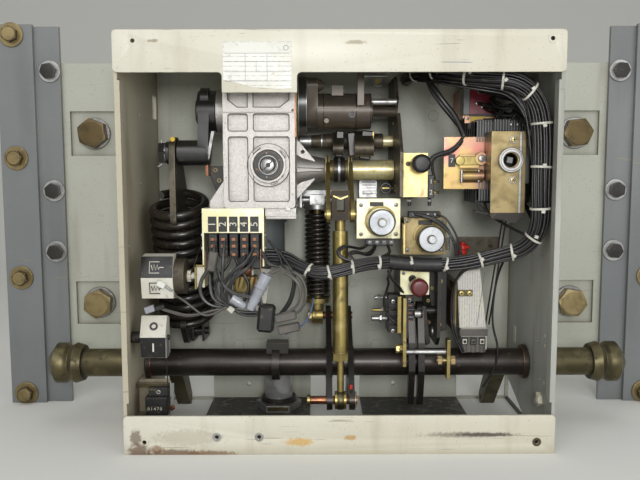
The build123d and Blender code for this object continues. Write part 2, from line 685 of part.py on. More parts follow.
with BuildPart() as push_rod_fork:
    with BuildSketch(rod_frame.offset(rod_span - 7)):
        Rectangle(21, 24)
    extrude(amount=36)
    with BuildSketch(rod_frame.offset(rod_span + 3)):
        Rectangle(9, 30)
    extrude(amount=20, mode=Mode.SUBTRACT)
    bar_x(fork_pin_y, fork_pin_z, pin_radius + fork_clearance, rod_x - 12, rod_x + 12, mode=Mode.SUBTRACT)
write(push_rod_fork.part, "push_rod_fork")

# Opening spring on its guide rod, between a swivelling seat and the upper lever pin
seat_y = spring_pin_y
seat_z = bearing_bottom - 14
with BuildPart() as spring_seat:
    bar_x(seat_y, seat_z + 6, trunnion_radius, opening_x - 23.4, opening_x + 23.4)
    bar_z(opening_x, seat_y, 18, seat_z - 6, seat_z)
    block(opening_x - 10, opening_x + 10, seat_y - 10, seat_y + 10, seat_z - 1, seat_z + 13)
    bar_z(opening_x, seat_y, guide_radius + hinge_gap, seat_z - 7, seat_z + 20, mode=Mode.SUBTRACT)
write(spring_seat.part, "spring_seat")

with BuildPart() as spring_guide:
    bar_z(opening_x, seat_y, guide_radius, spring_pin_z + 9, seat_z + 6)
    bar_z(opening_x, seat_y, 17, opening_bottom - 6.4, opening_bottom - 0.4)
    bar_z(opening_x, seat_y, 8, spring_pin_z + 7, opening_bottom - 4.4)
    bar_x(spring_pin_y, spring_pin_z, 12, opening_x - 7, opening_x + 7)
    bar_x(spring_pin_y, spring_pin_z, pin_radius + eye_clearance, opening_x - 8, opening_x + 8, mode=Mode.SUBTRACT)
write(spring_guide.part, "spring_guide")

with BuildPart() as opening_spring:
    with BuildLine(Plane((opening_x, seat_y, opening_bottom + opening_wire))) as opening_helix:
        Helix(pitch=opening_pitch, height=seat_z - 6 - opening_bottom - 2 * opening_wire - 0.8,
              radius=opening_radius)
    with BuildSketch(Plane(origin=opening_helix.line @ 0, z_dir=opening_helix.line % 0)):
        RegularPolygon(opening_wire, 4)
    sweep(is_frenet=True)
write(opening_spring.part, "opening_spring")

with BuildPart() as spring_bracket:
    for side in (-1, 1):
        side_plate([(seat_y - 9, seat_z - 4), (seat_y - 9, seat_z + 18), (box_depth, seat_z + 18),
                    (box_depth, seat_z - 4)], opening_x + side * 20.5 - 1.5 + side * 1.5,
                   opening_x + side * 20.5 + 1.5 + side * 1.5)
    block(opening_x - 23.5, opening_x + 23.5, box_depth - 3, box_depth, seat_z - 4, seat_z + 18)
    bar_x(seat_y, seat_z + 6, trunnion_radius + hinge_gap, opening_x - 24, opening_x + 24, mode=Mode.SUBTRACT)
write(spring_bracket.part, "spring_bracket")

# Position indicator on a stub in the left wall
flag_y = 34.0
flag_z = 131.0
flag_left = -inner_half + 12
flag_right = flag_left + 30
with BuildPart() as indicator_stub:
    bar_x(flag_y, flag_z, 7, -inner_half, flag_left - 2)
    bar_x(flag_y, flag_z, 3, flag_left - 2, flag_right + 3)
write(indicator_stub.part, "indicator_stub")

with BuildPart() as position_indicator:
    side_plate([(flag_y - 10, flag_z + 2), (flag_y + 2, flag_z + 26), (flag_y + 14, flag_z + 22),
                (flag_y + 14, flag_z - 22), (flag_y - 4, flag_z - 24)], flag_left, flag_right)
    bar_x(flag_y, flag_z, 3 + hinge_gap, flag_left, flag_right, mode=Mode.SUBTRACT)
write(position_indicator.part, "position_indicator")

# Spring state indicator: two-faced flag, round cheek and the tongue that carries it
sign_left = -inner_half + 15
sign_right = case_left - 59
with BuildPart() as spring_indicator:
    side_plate([(24, 204), (30, 228), (46, 230), (46, 176), (28, 179)], sign_left, sign_right)
    link_plate([(46, 203, 21)], sign_right, sign_right + 12)
    bar_x(46, 203, 4, sign_right + 12, case_left - 34)
    nut_x(46, 203, 13, sign_right + 14, sign_right + 18)
    block(case_left - 36, case_left - 26, 40, 43, 190, 216)
    block(case_left - 36, case_left - 34, 43, 52, 190, 216)
write(spring_indicator.part, "spring_indicator")

# Operation counter on its bracket
counter_left = -inner_half + 14
counter_right = counter_left + 24
with BuildPart() as counter_bracket:
    block(-inner_half, counter_right, 60, 62, 28, 72)
    block(-inner_half, -inner_half + 2, 62, 80, 28, 72)
    block(-inner_half, counter_right, 30, 60, 28, 31)
write(counter_bracket.part, "counter_bracket")

with BuildPart() as counter:
    block(counter_left, counter_right, 34, 60, 34, 57)
    block(counter_left + 3, counter_right, 40, 60, 57, 67)
write(counter.part, "counter")

# Motor limit switches on the gear case
bank_left = case_left - 24
bank_right = case_left + 45
with BuildPart() as switch_bracket:
    block(bank_left, bank_right, case_front - 2, case_front, case_bottom - 29, case_bottom)
    block(bank_left, bank_right, case_front, case_front + 30, case_bottom - 2, case_bottom)
    block(bank_left - 2, bank_left, case_front - 2, case_front + 30, case_bottom - 94, case_bottom)
    block(bank_right, bank_right + 2, case_front - 2, case_front + 30, case_bottom - 69, case_bottom)
write(switch_bracket.part, "switch_bracket")

switch_pitch = 12.4
with BuildPart() as limit_switches:
    for index in range(5):
        x = bank_left + 5 + index * switch_pitch
        block(x, x + 10.4, case_front, case_front + 26, case_bottom - 58, case_bottom - 6)
write(limit_switches.part, "limit_switches")

# Closing and trip coils: armature disc, frame with side cheeks, winding and terminal tabs
closing_coil_top = bearing_bottom - 4
closing_coil_bottom = closing_coil_top - 50.5
trip_coil_top = closing_coil_bottom + 27
trip_coil_bottom = trip_coil_top - 47.5
for x0, x1, z0, z1, disc_x, disc_z, tab_z, name in (
        (24.5, 79.5, closing_coil_bottom, closing_coil_top, 55, closing_coil_top - 29,
         closing_coil_bottom - 6, "closing_coil"),
        (84.5, 138, trip_coil_bottom, trip_coil_top, 116.5, trip_coil_top - 26.5, trip_coil_top, "trip_coil")):
    with BuildPart() as coil:
        block(x0, x1, coil_front, coil_front + 3, z0, z1)
        for side_x in (x0, x1 - 2):
            block(side_x, side_x + 2, coil_front + 3, coil_front + 50, z0 + 4, z1 - 4)
        block(x0 + 8, x1 - 8, coil_front + 3, box_depth, z0 + 6, z1 - 6)
        bar_y(disc_x, disc_z, 15.5, coil_front - 17, coil_front + 3)
        bar_y(disc_x, disc_z, 5, coil_front - 25, coil_front - 5)
        for tab in range(3):
            tab_x = disc_x - 20 + tab * 14
            block(tab_x, tab_x + 8, coil_front, coil_front + 3, tab_z, tab_z + 6)
    write(coil.part, name)

# Closing knob in its box on the bearing plate
knob_z = follower_z + 7
with BuildPart() as close_box:
    block(bearing_end, bearing_end + 30, 60, 62, knob_z - 40, knob_z + 13)
    block(bearing_end, bearing_end + 2, 60, 110, knob_z - 40, knob_z + 13)
    block(bearing_end + 28, bearing_end + 30, 60, 110, knob_z - 40, knob_z + 13)
    bar_y(knob_x, knob_z, knob_stem + slide_gap, 60, 62, mode=Mode.SUBTRACT)
write(close_box.part, "close_box")

with BuildPart() as close_knob:
    bar_y(knob_x, knob_z, knob_radius, 33, 33 + knob_length)
    bar_y(knob_x, knob_z, knob_stem, 33 + knob_length, 78)
    chamfer(close_knob.edges().filter_by(GeomType.CIRCLE).group_by(Axis.Y)[0], 3)
write(close_knob.part, "close_knob")

# Trip knob in its bracket on the latch frame
frame_top = trip_coil_bottom - 16
frame_front = 72.0
trip_z = frame_top - 19
claw_y = 96.0
claw_z = trip_z - 37
claw_pivot_radius = 6.0
with BuildPart() as latch_frame:
    for x0 in (84, 124):
        side_plate([(84, 108), (frame_front, 120), (frame_front, frame_top), (box_depth, frame_top),
                    (box_depth, 108)], x0, x0 + 4)
    bar_x(claw_y, claw_z, claw_pivot_radius, 88, 124)
    block(77, 113, frame_front - 2, frame_front, frame_top - 31, frame_top)
    bar_y(trip_x, trip_z, knob_stem + slide_gap, frame_front - 2, frame_front, mode=Mode.SUBTRACT)
write(latch_frame.part, "latch_frame")

with BuildPart() as trip_knob:
    bar_y(trip_x, trip_z, knob_radius, frame_front - 27, frame_front - 27 + knob_length)
    bar_y(trip_x, trip_z, knob_stem, frame_front - 27 + knob_length, frame_front + 14)
    chamfer(trip_knob.edges().filter_by(GeomType.CIRCLE).group_by(Axis.Y)[0], 3)
write(trip_knob.part, "trip_knob")

# Latch claws in front of the shaft
with BuildPart() as latch_claws:
    for x0 in (89, 101):
        link_plate([(claw_y, claw_z, 12), (80, 112, 7)], x0, x0 + 8)
        link_plate([(80, 112, 7), (77, 78, 7)], x0, x0 + 8)
        link_plate([(77, 78, 7), (86, 34, 4)], x0, x0 + 8)
        bar_x(claw_y, claw_z, claw_pivot_radius, x0, x0 + 8, mode=Mode.SUBTRACT)
write(latch_claws.part, "latch_claws")

with BuildPart() as contact_block:
    block(64, 84, 84, 118, claw_z - 26, claw_z + 20)
    for groove in range(4):
        block(64, 84, 84, 86.5, claw_z - 18 + groove * 10, claw_z - 15.5 + groove * 10, mode=Mode.SUBTRACT)
write(contact_block.part, "contact_block")

# Link plates beside the latch, tied by a rod and nuts
with BuildPart() as link_plates:
    block(80, 84, 58, 76, 87, 121)
    block(80, 84, 60, 76, 121, claw_z + 22)
    block(134, 138, 56, 70, 72, 121)
    bar_x(65, 104, 3, 84, 134)
    bar_x(62, 94, 3, 122, 145)
    nut_x(62, 94, 9, 123, 129)
    nut_x(62, 94, 9, 138, 143)
    nut_x(66, 108, 10, 75, 80)
write(link_plates.part, "link_plates")

# Auxiliary switch group at the upper right: plate and channel in front of the contact stack
stack_front = 88.0
stack_left = inner_half - 70
stack_right = inner_half - 8
stack_top = box_height - 94
with BuildPart() as aux_plate:
    block(stack_left - 44.5, stack_left + 14, stack_front - 3, stack_front, follower_z - 24, follower_z + 40)
    block(stack_left - 26, stack_left - 2, stack_front - 8, stack_front - 3, follower_z + 2, follower_z + 18)
    block(stack_left - 20, stack_left - 8, stack_front - 8, stack_front - 3, follower_z + 7, follower_z + 13,
          mode=Mode.SUBTRACT)
    bar_x(stack_front - 3, follower_z - 8, 8, stack_left - 22, stack_left + 4)
    bar_x(stack_front - 3, follower_z - 8, 4, stack_left - 22, stack_left + 4, mode=Mode.SUBTRACT)
    block(stack_left - 24, stack_left + 6, stack_front, stack_front + 8, follower_z - 18, follower_z + 2,
          mode=Mode.SUBTRACT)
write(aux_plate.part, "aux_plate")

with BuildPart() as aux_switch:
    block(stack_left, stack_right, stack_front, box_depth - 22, stack_top - 98, stack_top)
    block(stack_left + 18, stack_right - 3, box_depth - 22, box_depth, stack_top - 88, stack_top - 10)
    for step in range(6):
        rib_y = stack_front + 8 + step * 13
        block(stack_left - 2, stack_right + 3, rib_y, rib_y + 5, stack_top - 101, stack_top + 3)
write(aux_switch.part, "aux_switch")

channel_left = inner_half - 64.5
channel_right = channel_left + 41
channel_front = 50.0
bush_x = channel_left + 22
bush_z = follower_z + 11
with BuildPart() as aux_channel:
    front_plate([(channel_left, bush_z + 34), (channel_right, bush_z + 34), (channel_right, bush_z - 66),
                 (channel_left + 30, bush_z - 74), (channel_left, bush_z - 62)], channel_front, 2.5)
    block(channel_left, channel_left + 2.5, channel_front + 2.5, stack_front - 3, bush_z - 24, bush_z + 34)
    block(channel_right - 2.5, channel_right, channel_front + 2.5, stack_front, bush_z - 50, bush_z + 34)
    bar_y(bush_x, bush_z, 14.5, channel_front - 4, channel_front)
    bar_y(bush_x, bush_z, 8.5, channel_front - 4, channel_front + 2.5, mode=Mode.SUBTRACT)
write(aux_channel.part, "aux_channel")

relay_bottom = box_height - 83
relay_left = inner_half - 74
with BuildPart() as relay:
    block(relay_left, relay_left + 33, 130, box_depth, relay_bottom, relay_bottom + 35)
write(relay.part, "relay")

with BuildPart() as relay_base:
    block(relay_left - 8, relay_left, 134, box_depth, relay_bottom, relay_bottom + 34)
    block(relay_left - 8, relay_left + 34, 132, box_depth, relay_bottom - 4, relay_bottom)
write(relay_base.part, "relay_base")

# Release unit with its terminal block, and the stop plate above it
unit_left = inner_half - 94
unit_top = frame_top - 2
with BuildPart() as release_unit:
    front_plate([(unit_left, unit_top - 15), (unit_left + 9, unit_top - 3), (unit_left + 28.5, unit_top),
                 (unit_left + 37.5, 128.5), (unit_left + 3.5, 128.5)], 90, box_depth - 90)
    block(unit_left + 5, unit_left + 37, 84, 98, 102, 128.5)
write(release_unit.part, "release_unit")

with BuildPart() as stop_plate:
    block(unit_left + 11, unit_left + 68, 150, 154, unit_top + 11, unit_top + 35)
    block(unit_left + 30, unit_left + 60, 154, box_depth, unit_top + 20, unit_top + 24)
    bar_y(unit_left + 56, unit_top + 23, 3, 150, 154, mode=Mode.SUBTRACT)
write(stop_plate.part, "stop_plate")

# Wiring: the main harness from the rear plate round the right wall to the limit switches, and a
# thin sleeve from it to the auxiliary plate
run_x = inner_half - 11
top_z = box_height - 30
harness_route = [(98, box_depth, top_z), (98, box_depth - 48, top_z), (108, 100, top_z - 2),
                 (132, 58, top_z - 10), (run_x - 65, 34, top_z - 17), (run_x - 29, 26, top_z - 22),
                 (run_x - 4, 27, 405), (run_x, 28, 358), (run_x - 2, 27, 305), (run_x, 28, 262),
                 (run_x - 13, 36, 236), (run_x - 45, 44, 226), (150, 48, 216), (108, 50, 215), (66, 47, 219),
                 (30, 40, 218), (2, 36, 210), (-24, 36, 206), (-47, 43, 215), (-66, 50, 227), (-88, 50, 227)]
write(tube(harness_route, cable_radius), "harness_main")

sleeve_route = [(112, 91.5, 440.5), (118, 84, 428), (130, 80, 410), (146, 82, 392), (156, 86.5, 370.6)]
write(tube(sleeve_route, 3.5), "harness_sleeve")
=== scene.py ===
import bpy
import bmesh
import json
from math import atan2, cos, hypot, pi, radians, sin
from mathutils import Matrix, Vector
from random import Random


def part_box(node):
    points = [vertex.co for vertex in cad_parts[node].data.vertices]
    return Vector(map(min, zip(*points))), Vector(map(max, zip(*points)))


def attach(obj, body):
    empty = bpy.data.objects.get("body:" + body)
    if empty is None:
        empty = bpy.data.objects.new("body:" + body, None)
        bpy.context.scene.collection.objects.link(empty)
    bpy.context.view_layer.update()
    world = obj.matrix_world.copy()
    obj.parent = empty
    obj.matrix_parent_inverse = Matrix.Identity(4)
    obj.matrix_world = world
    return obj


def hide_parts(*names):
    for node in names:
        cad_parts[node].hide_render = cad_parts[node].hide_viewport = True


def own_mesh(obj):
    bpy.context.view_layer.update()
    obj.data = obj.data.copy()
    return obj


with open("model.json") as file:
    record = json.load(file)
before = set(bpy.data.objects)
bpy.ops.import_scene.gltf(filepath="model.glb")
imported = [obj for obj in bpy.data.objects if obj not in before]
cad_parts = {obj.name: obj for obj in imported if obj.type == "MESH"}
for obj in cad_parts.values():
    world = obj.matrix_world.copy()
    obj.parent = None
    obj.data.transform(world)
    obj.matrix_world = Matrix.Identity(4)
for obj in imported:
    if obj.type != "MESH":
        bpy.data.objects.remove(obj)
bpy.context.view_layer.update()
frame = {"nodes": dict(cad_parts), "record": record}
scene = bpy.context.scene
scene.view_settings.view_transform = "Standard"
bodyOf = {node: body for body, nodes in frame["record"]["behaviour"]["bodies"].items() for node in nodes}
front, right, left, up, down = (0, -1, 0), (1, 0, 0), (-1, 0, 0), (0, 0, 1), (0, 0, -1)


def at(x, y, z):  # millimetres in the housing to metres in the frame
    return Vector((x, y - 104.5, z)) * 0.001


def shade(red, green, blue):  # a colour as a paint shop reads it, 0 to 255
    return tuple(((part / 255 + 0.055) / 1.055) ** 2.4 for part in (red, green, blue)) + (1,)


# Camera and light
view = {"lens": 39.14, "place": (-0.0248, -0.8845, 0.3268), "pitch": 5.61, "yaw": -0.20, "roll": 0.12}
eye = bpy.data.cameras.new("eye")
eye.lens = view["lens"]
eye.sensor_width = 36
camera = bpy.data.objects.new("eye", eye)
scene.collection.objects.link(camera)
camera.matrix_world = (Matrix.Translation(view["place"]) @ Matrix.Rotation(radians(view["yaw"]), 4, "Z")
                       @ Matrix.Rotation(radians(90 - view["pitch"]), 4, "X")
                       @ Matrix.Rotation(radians(-view["roll"]), 4, "Z"))
scene.camera = camera

lampTarget = Vector((0, 0, 0.25))
lamps = {  # place, size in metres, power in watts
    "key": ((-0.75, -1.5, 1.35), 0.9, 5.5), "fill": ((1.2, -1.4, 0.7), 1.3, 4.2),
    "top": ((0.1, -0.2, 1.9), 1.2, 4), "front": ((0.08, -1.6, 0.55), 0.4, 11.5)}
for name, (place, size, power) in lamps.items():
    lamp = bpy.data.lights.new(name, "AREA")
    lamp.energy = power
    lamp.size = size
    holder = bpy.data.objects.new(name, lamp)
    holder.location = place
    holder.rotation_euler = (lampTarget - Vector(place)).to_track_quat("-Z", "Y").to_euler()
    scene.collection.objects.link(holder)


class Value:  # a socket that can be used in sums
    def __init__(self, paint, socket):
        self.paint = paint
        self.socket = socket

    def math(self, operation, first, second):
        return self.paint.node("ShaderNodeMath", {"operation": operation}, {0: first, 1: second})

    def __add__(self, other):
        return self.math("ADD", self, other)

    def __sub__(self, other):
        return self.math("SUBTRACT", self, other)

    def __rsub__(self, other):
        return self.math("SUBTRACT", other, self)

    def __mul__(self, other):
        return self.math("MULTIPLY", self, other)

    __radd__ = __add__
    __rmul__ = __mul__


class Paint:  # one finish; each layer changes the surface under a mask
    def __init__(self, name, colour, roughness=0.5, metallic=0.0, coat=0.0):
        self.material = bpy.data.materials.new(name)
        self.material.use_nodes = True
        self.tree = self.material.node_tree
        self.shader = self.tree.nodes["Principled BSDF"]
        self.shader.inputs["Coat Roughness"].default_value = 0.25
        self.parts = {"Base Color": shade(*colour), "Roughness": roughness, "Metallic": metallic,
                      "Coat Weight": coat}
        self.height = None
        self.place = self.node("ShaderNodeTexCoord", output="Object")

    def node(self, kind, settings=None, inputs=None, output=0):
        made = self.tree.nodes.new(kind)
        for name, value in (settings or {}).items():
            setattr(made, name, value)
        for name, value in (inputs or {}).items():
            self.feed(made.inputs[name], value)
        return Value(self, made.outputs[output])

    def feed(self, socket, value):
        if isinstance(value, Value):
            self.tree.links.new(value.socket, socket)
        else:
            socket.default_value = value

    def vector(self, operation, first, second=None, output=0):
        inputs = {0: first} if second is None else {0: first, 1: second}
        return self.node("ShaderNodeVectorMath", {"operation": operation}, inputs, output)

    def noise(self, scale, detail=3.0, stretch=(1, 1, 1), warp=0.0):
        spread = self.vector("MULTIPLY", self.place, stretch)
        return self.node("ShaderNodeTexNoise", {},
                         {"Vector": spread, "Scale": scale, "Detail": detail, "Distortion": warp})

    def between(self, value, low, high):  # 0 below low, 1 above high
        return self.node("ShaderNodeMapRange", {"interpolation_type": "SMOOTHSTEP"},
                         {"Value": value, "From Min": low, "From Max": high})

    def cloud(self, low, high, scale, detail=3.0, stretch=(1, 1, 1), warp=0.0):  # patches of noise as a mask
        return self.between(self.noise(scale, detail, stretch, warp), low, high)

    def lay(self, mask, colour, roughness=None, metallic=None):
        for name, over in (("Base Color", shade(*colour)), ("Roughness", roughness), ("Metallic", metallic)):
            if over is not None:
                kind, socket, output = ("RGBA", 6, 2) if name == "Base Color" else ("FLOAT", 2, 0)
                self.parts[name] = self.node("ShaderNodeMix", {"data_type": kind},
                                             {0: mask, socket: self.parts[name], socket + 1: over}, output)

    def swell(self, value, amount):
        self.height = value * amount if self.height is None else self.height + value * amount

    def edges(self, radius=0.0015):  # 1 on worn corners, 0 on flats
        rounded = self.node("ShaderNodeBevel", {"samples": 4}, {"Radius": radius})
        plain = self.node("ShaderNodeNewGeometry", output="Normal")
        return self.between(1 - self.vector("DOT_PRODUCT", rounded, plain, "Value"), 0.04, 0.25)

    def corners(self, distance):  # 1 in corners and hollows, from ambient occlusion: painted shade, laid in the grime colour
        openness = self.node("ShaderNodeAmbientOcclusion", {"samples": 6}, {"Distance": distance}, "AO")
        return 1 - self.between(openness, 0.25, 0.85)

    def spot(self, centre, radius, soft, stretch=(1, 1, 1), ragged=0.35):  # a stain with a frayed edge
        fray = (self.noise(260, 4) - 0.5) * radius * ragged * 2.0
        away = self.vector("MULTIPLY", self.vector("SUBTRACT", self.place, tuple(centre)), stretch)
        length = self.vector("LENGTH", away, output="Value")
        return 1 - self.between(length + fray, radius * (1 - soft), radius)

    def done(self, rounding=0.0007):
        for name, value in self.parts.items():
            self.feed(self.shader.inputs[name], value)
        normal = self.node("ShaderNodeBevel", {"samples": 4}, {"Radius": rounding}) if rounding else None
        if self.height is not None:
            settings = {"Height": self.height, "Distance": 0.001, "Strength": 1.0}
            if normal:
                settings["Normal"] = normal
            normal = self.node("ShaderNodeBump", {}, settings)
        if normal:
            self.feed(self.shader.inputs["Normal"], normal)
        return self.material


# Finishes, used later by their names
def sprayed(name, look):  # sheet steel in enamel
    paint = Paint(name, look["base"], look["roughness"], coat=look.get("coat", 0.0))
    paint.lay(paint.cloud(0.35, 0.7, 5, 4), look["faded"])
    streaks = paint.cloud(0.52, 0.74, 9, 5, (3, 3, 0.5))
    paint.lay(streaks * look["dirtAndShade"], look["grimeAndShade"], look["roughness"] + 0.12)
    # painted shade: corners and hollows darkened by ambient occlusion, in the grime colour, beside the real
    # streaks and specks
    paint.lay(paint.corners(0.03) * look["dirtAndShade"] * 1.6, look["grimeAndShade"], look["roughness"] + 0.2)
    paint.lay(paint.cloud(look.get("specks", 0.69), 0.74, 520, 2) * 0.7, look["grimeAndShade"])
    paint.lay(paint.cloud(0.70, 0.73, 60, 2, (0.15, 1, 4), 1.5) * look["wear"], look["bare"], 0.4)
    chips = paint.edges() * paint.cloud(0.52, 0.60, 90, 4)
    paint.lay(chips * look["wear"] * 1.4, look["bare"], 0.5, 0.4)
    paint.swell(paint.noise(700, 2), 0.05)
    return paint


# Place, radius, colour and stretch of the rust, ochre and wear on the lips
lipMarks = (((-233, -1, 2), 16, (96, 66, 44), (1, 1, 1)), ((-212, -1, 6), 11, (140, 112, 84), (1, 1, 1.6)),
    ((-190, -1, 1), 22, (104, 76, 52), (0.5, 1, 3.2)), ((-150, -1, 1), 20, (122, 92, 62), (0.5, 1, 4)),
    ((-46, -1, 15), 15, (204, 160, 72), (0.7, 1, 2.4)), ((12, -1, 20), 7, (186, 146, 74), (0.8, 1, 1.6)),
    ((-176, -1, 20), 34, (188, 181, 163), (0.7, 1, 2.6)), ((-236, -1, 20), 9, (110, 92, 72), (1, 1, 0.7)),
    ((150, -1, 23), 40, (138, 130, 116), (0.6, 1, 9)), ((168, -1, 23), 26, (66, 60, 54), (0.6, 1, 9)),
    ((18, -1, 468), 6, (160, 148, 124), (0.4, 1, 2)), ((-205, -1, 470), 5, (150, 136, 110), (0.6, 1, 2)))


def stained(name):  # the ivory of the lips with its marks
    paint = sprayed(name, ivoryLook)
    for centre, radius, colour, stretch in lipMarks:
        paint.lay(paint.spot(at(*centre), radius * 0.001, 0.55, stretch, 0.5) * 0.8, colour, 0.65)
    return paint


ivoryLook = {"base": (216, 213, 197), "faded": (207, 203, 185), "grimeAndShade": (150, 140, 112),
    "bare": (120, 104, 84), "roughness": 0.42, "dirtAndShade": 0.35, "wear": 0.55, "coat": 0.15}
ivory = stained("ivoryEnamel")
penStrokes = ivory.cloud(0.66, 0.69, 40, 2, (0.3, 1, 8))
ivory.lay(penStrokes * ivory.spot(at(128, -1, 448), 0.024, 0.3, (0.8, 1, 5)) * 0.6, (70, 80, 120))
ivory.done()

floorLook = {"edge": -0.1003, "oil": (42, 40, 35), "worn": (128, 125, 117), "rust": (96, 76, 54)}
greasy = stained("greasyFloor")
depth = greasy.node("ShaderNodeSeparateXYZ", {}, {0: greasy.place}, "Y")
behind = greasy.between(depth, floorLook["edge"], floorLook["edge"] + 0.001)
greasy.lay(behind * 0.97, floorLook["oil"], 0.75)
greasy.lay(behind * greasy.cloud(0.54, 0.66, 70, 6, (0.8, 1, 1), 1.4) * 0.6, floorLook["worn"], 0.5)
greasy.lay(behind * greasy.cloud(0.6, 0.68, 60, 4) * 0.6, floorLook["rust"], 0.7)
greasy.done()

rearLook = {"base": (184, 186, 174), "faded": (174, 176, 163), "grimeAndShade": (126, 122, 104),
    "bare": (118, 112, 98), "roughness": 0.48, "dirtAndShade": 0.45, "wear": 0.4, "specks": 0.66,
    "circles": ((58.5, 427.5), (58.9, 403.7), (136.1, 426.6), (136.4, 403.6))}
plate = sprayed("paleGreenGreyPlate", rearLook)
for x, z in rearLook["circles"]:  # pressed circles, drawn as dark rings: painted shade along their rims
    away = plate.vector("DISTANCE", plate.place, tuple(at(x, 198, z)), "Value")
    ring = plate.between(away, 0.0062, 0.0069) * (1 - plate.between(away, 0.0069, 0.0076))
    plate.lay(ring * 0.75, (118, 118, 106))
ink = plate.noise(55, 3, (1, 1, 2.2), 2.4)
inkLine = plate.between(ink, 0.47, 0.49) * (1 - plate.between(ink, 0.50, 0.52))
plate.lay(inkLine * plate.spot(at(-296, 198, 116), 0.016, 0.3, (1, 1, 1.5)) * 0.9, (38, 38, 44))
plate.done()

enamelLooks = {
    # the lips' cream set darker for the inside of the box: painted shade in the wall's colour
    "warmInnerWall": {"base": (186, 179, 158), "faded": (176, 168, 146), "grimeAndShade": (112, 102, 82),
        "bare": (104, 96, 84), "roughness": 0.5, "dirtAndShade": 0.6, "wear": 0.5},
    "greyInnerWall": {"base": (178, 180, 172), "faded": (166, 168, 160), "grimeAndShade": (108, 104, 92),
        "bare": (104, 100, 92), "roughness": 0.46, "dirtAndShade": 0.5, "wear": 0.5},
    "blueGreyEnamel": {"base": (122, 126, 126), "faded": (113, 117, 118), "grimeAndShade": (92, 92, 90),
        "bare": (176, 160, 96), "roughness": 0.3, "dirtAndShade": 0.3, "wear": 0.3, "coat": 0.35},
    "motorEnamel": {"base": (92, 97, 98), "faded": (82, 86, 88), "grimeAndShade": (60, 60, 58),
        "bare": (140, 130, 110), "roughness": 0.4, "dirtAndShade": 0.4, "wear": 0.6},
}
for name, look in enamelLooks.items():
    sprayed(name, look).done()


def plated(name, look):  # zinc, chromate and turned metal
    paint = Paint(name, look["base"], look["roughness"], look.get("metallic", 0.9))
    cloud = look.get("cloud", 38)
    paint.lay(paint.cloud(0.42, 0.62, cloud, 4, warp=0.6), look["second"])
    if "third" in look:
        paint.lay(paint.cloud(0.52, 0.66, cloud * 0.7, 3, warp=1.2) * 0.8, look["third"])
    paint.lay(paint.cloud(0.55, 0.72, 120, 5) * look["dirtAndShade"], look["grimeAndShade"], look["roughness"] + 0.25, 0.35)
    # painted shade: corners and hollows darkened by ambient occlusion, in the grime colour
    paint.lay(paint.corners(0.012) * look["dirtAndShade"] * 1.5, look["grimeAndShade"], 0.7, 0.2)
    paint.lay(paint.edges(0.001) * 0.5, (214, 206, 184), look["roughness"], 1.0)
    paint.swell(paint.noise(900, 3, look.get("turned", (1, 1, 1))), look.get("peel", 0.06))
    return paint


zincLooks = {
    "brightZinc": {"base": (176, 176, 174), "second": (150, 150, 152), "grimeAndShade": (84, 78, 66),
        "roughness": 0.36, "dirtAndShade": 0.4},
    "yellowZinc": {"base": (214, 194, 128), "second": (196, 174, 112), "third": (206, 176, 140),
        "grimeAndShade": (96, 78, 46), "roughness": 0.36, "dirtAndShade": 0.35, "metallic": 0.7},
    "brightBrass": {"base": (222, 212, 168), "second": (204, 190, 138), "third": (226, 220, 192),
        "grimeAndShade": (84, 72, 44), "roughness": 0.3, "dirtAndShade": 0.35, "metallic": 0.5},
    "brushedDisc": {"base": (208, 211, 214), "second": (188, 192, 198), "grimeAndShade": (120, 116, 108),
        "roughness": 0.42, "dirtAndShade": 0.2, "metallic": 0.35, "turned": (0.2, 1, 3), "peel": 0.2},
    "turnedSteel": {"base": (182, 182, 180), "second": (138, 138, 137), "grimeAndShade": (84, 80, 74),
        "roughness": 0.3, "dirtAndShade": 0.3, "metallic": 0.45, "turned": (1, 1, 0.1)},
    "paleZinc": {"base": (226, 224, 190), "second": (216, 210, 166), "third": (228, 220, 200),
        "grimeAndShade": (120, 104, 72), "roughness": 0.4, "dirtAndShade": 0.3, "metallic": 0.55},
    "oliveGold": {"base": (146, 130, 92), "second": (124, 110, 76), "third": (158, 142, 104),
        "grimeAndShade": (72, 60, 40), "roughness": 0.34, "dirtAndShade": 0.4, "metallic": 0.8},
    "agedSteel": {"base": (86, 79, 66), "second": (68, 62, 52), "third": (98, 92, 80),
        "grimeAndShade": (34, 30, 24), "roughness": 0.45, "dirtAndShade": 0.6, "metallic": 0.6},
    "pinkZinc": {"base": (172, 132, 114), "second": (176, 152, 96), "third": (184, 116, 108),
        "grimeAndShade": (96, 74, 52), "roughness": 0.3, "dirtAndShade": 0.3, "cloud": 22},
    "oliveBrass": {"base": (158, 142, 88), "second": (134, 120, 74), "third": (176, 160, 108),
        "grimeAndShade": (60, 50, 30), "roughness": 0.34, "dirtAndShade": 0.5},
    "oliveSteel": {"base": (100, 93, 68), "second": (80, 74, 54), "grimeAndShade": (40, 34, 24),
        "roughness": 0.42, "dirtAndShade": 0.6},
    "bronzeHead": {"base": (94, 81, 55), "second": (78, 67, 46), "grimeAndShade": (52, 44, 30),
        "roughness": 0.4, "dirtAndShade": 0.5},
    "copperTone": {"base": (158, 108, 80), "second": (126, 84, 62), "grimeAndShade": (70, 42, 28),
        "roughness": 0.32, "dirtAndShade": 0.4},
}
for name, look in zincLooks.items():
    plated(name, look).done()

castLook = {"base": (179, 175, 171), "second": (170, 166, 162), "grimeAndShade": (112, 107, 99), "roughness": 0.38,
    "dirtAndShade": 0.06, "metallic": 0.85, "cloud": 420, "peel": 0.5,
    "rust": ((-84, 389), (-72, 383), (-53.5, 398), (-66, 322), (-74, 300), (-82, 354))}
cast = plated("sandCastAluminium", castLook)
cast.swell(cast.noise(2600, 1), 0.10)
for x, z in castLook["rust"]:
    cast.lay(cast.spot(at(x, 40, z), 0.0022, 0.6), (118, 74, 40), 0.7, 0.1)
cast.done()


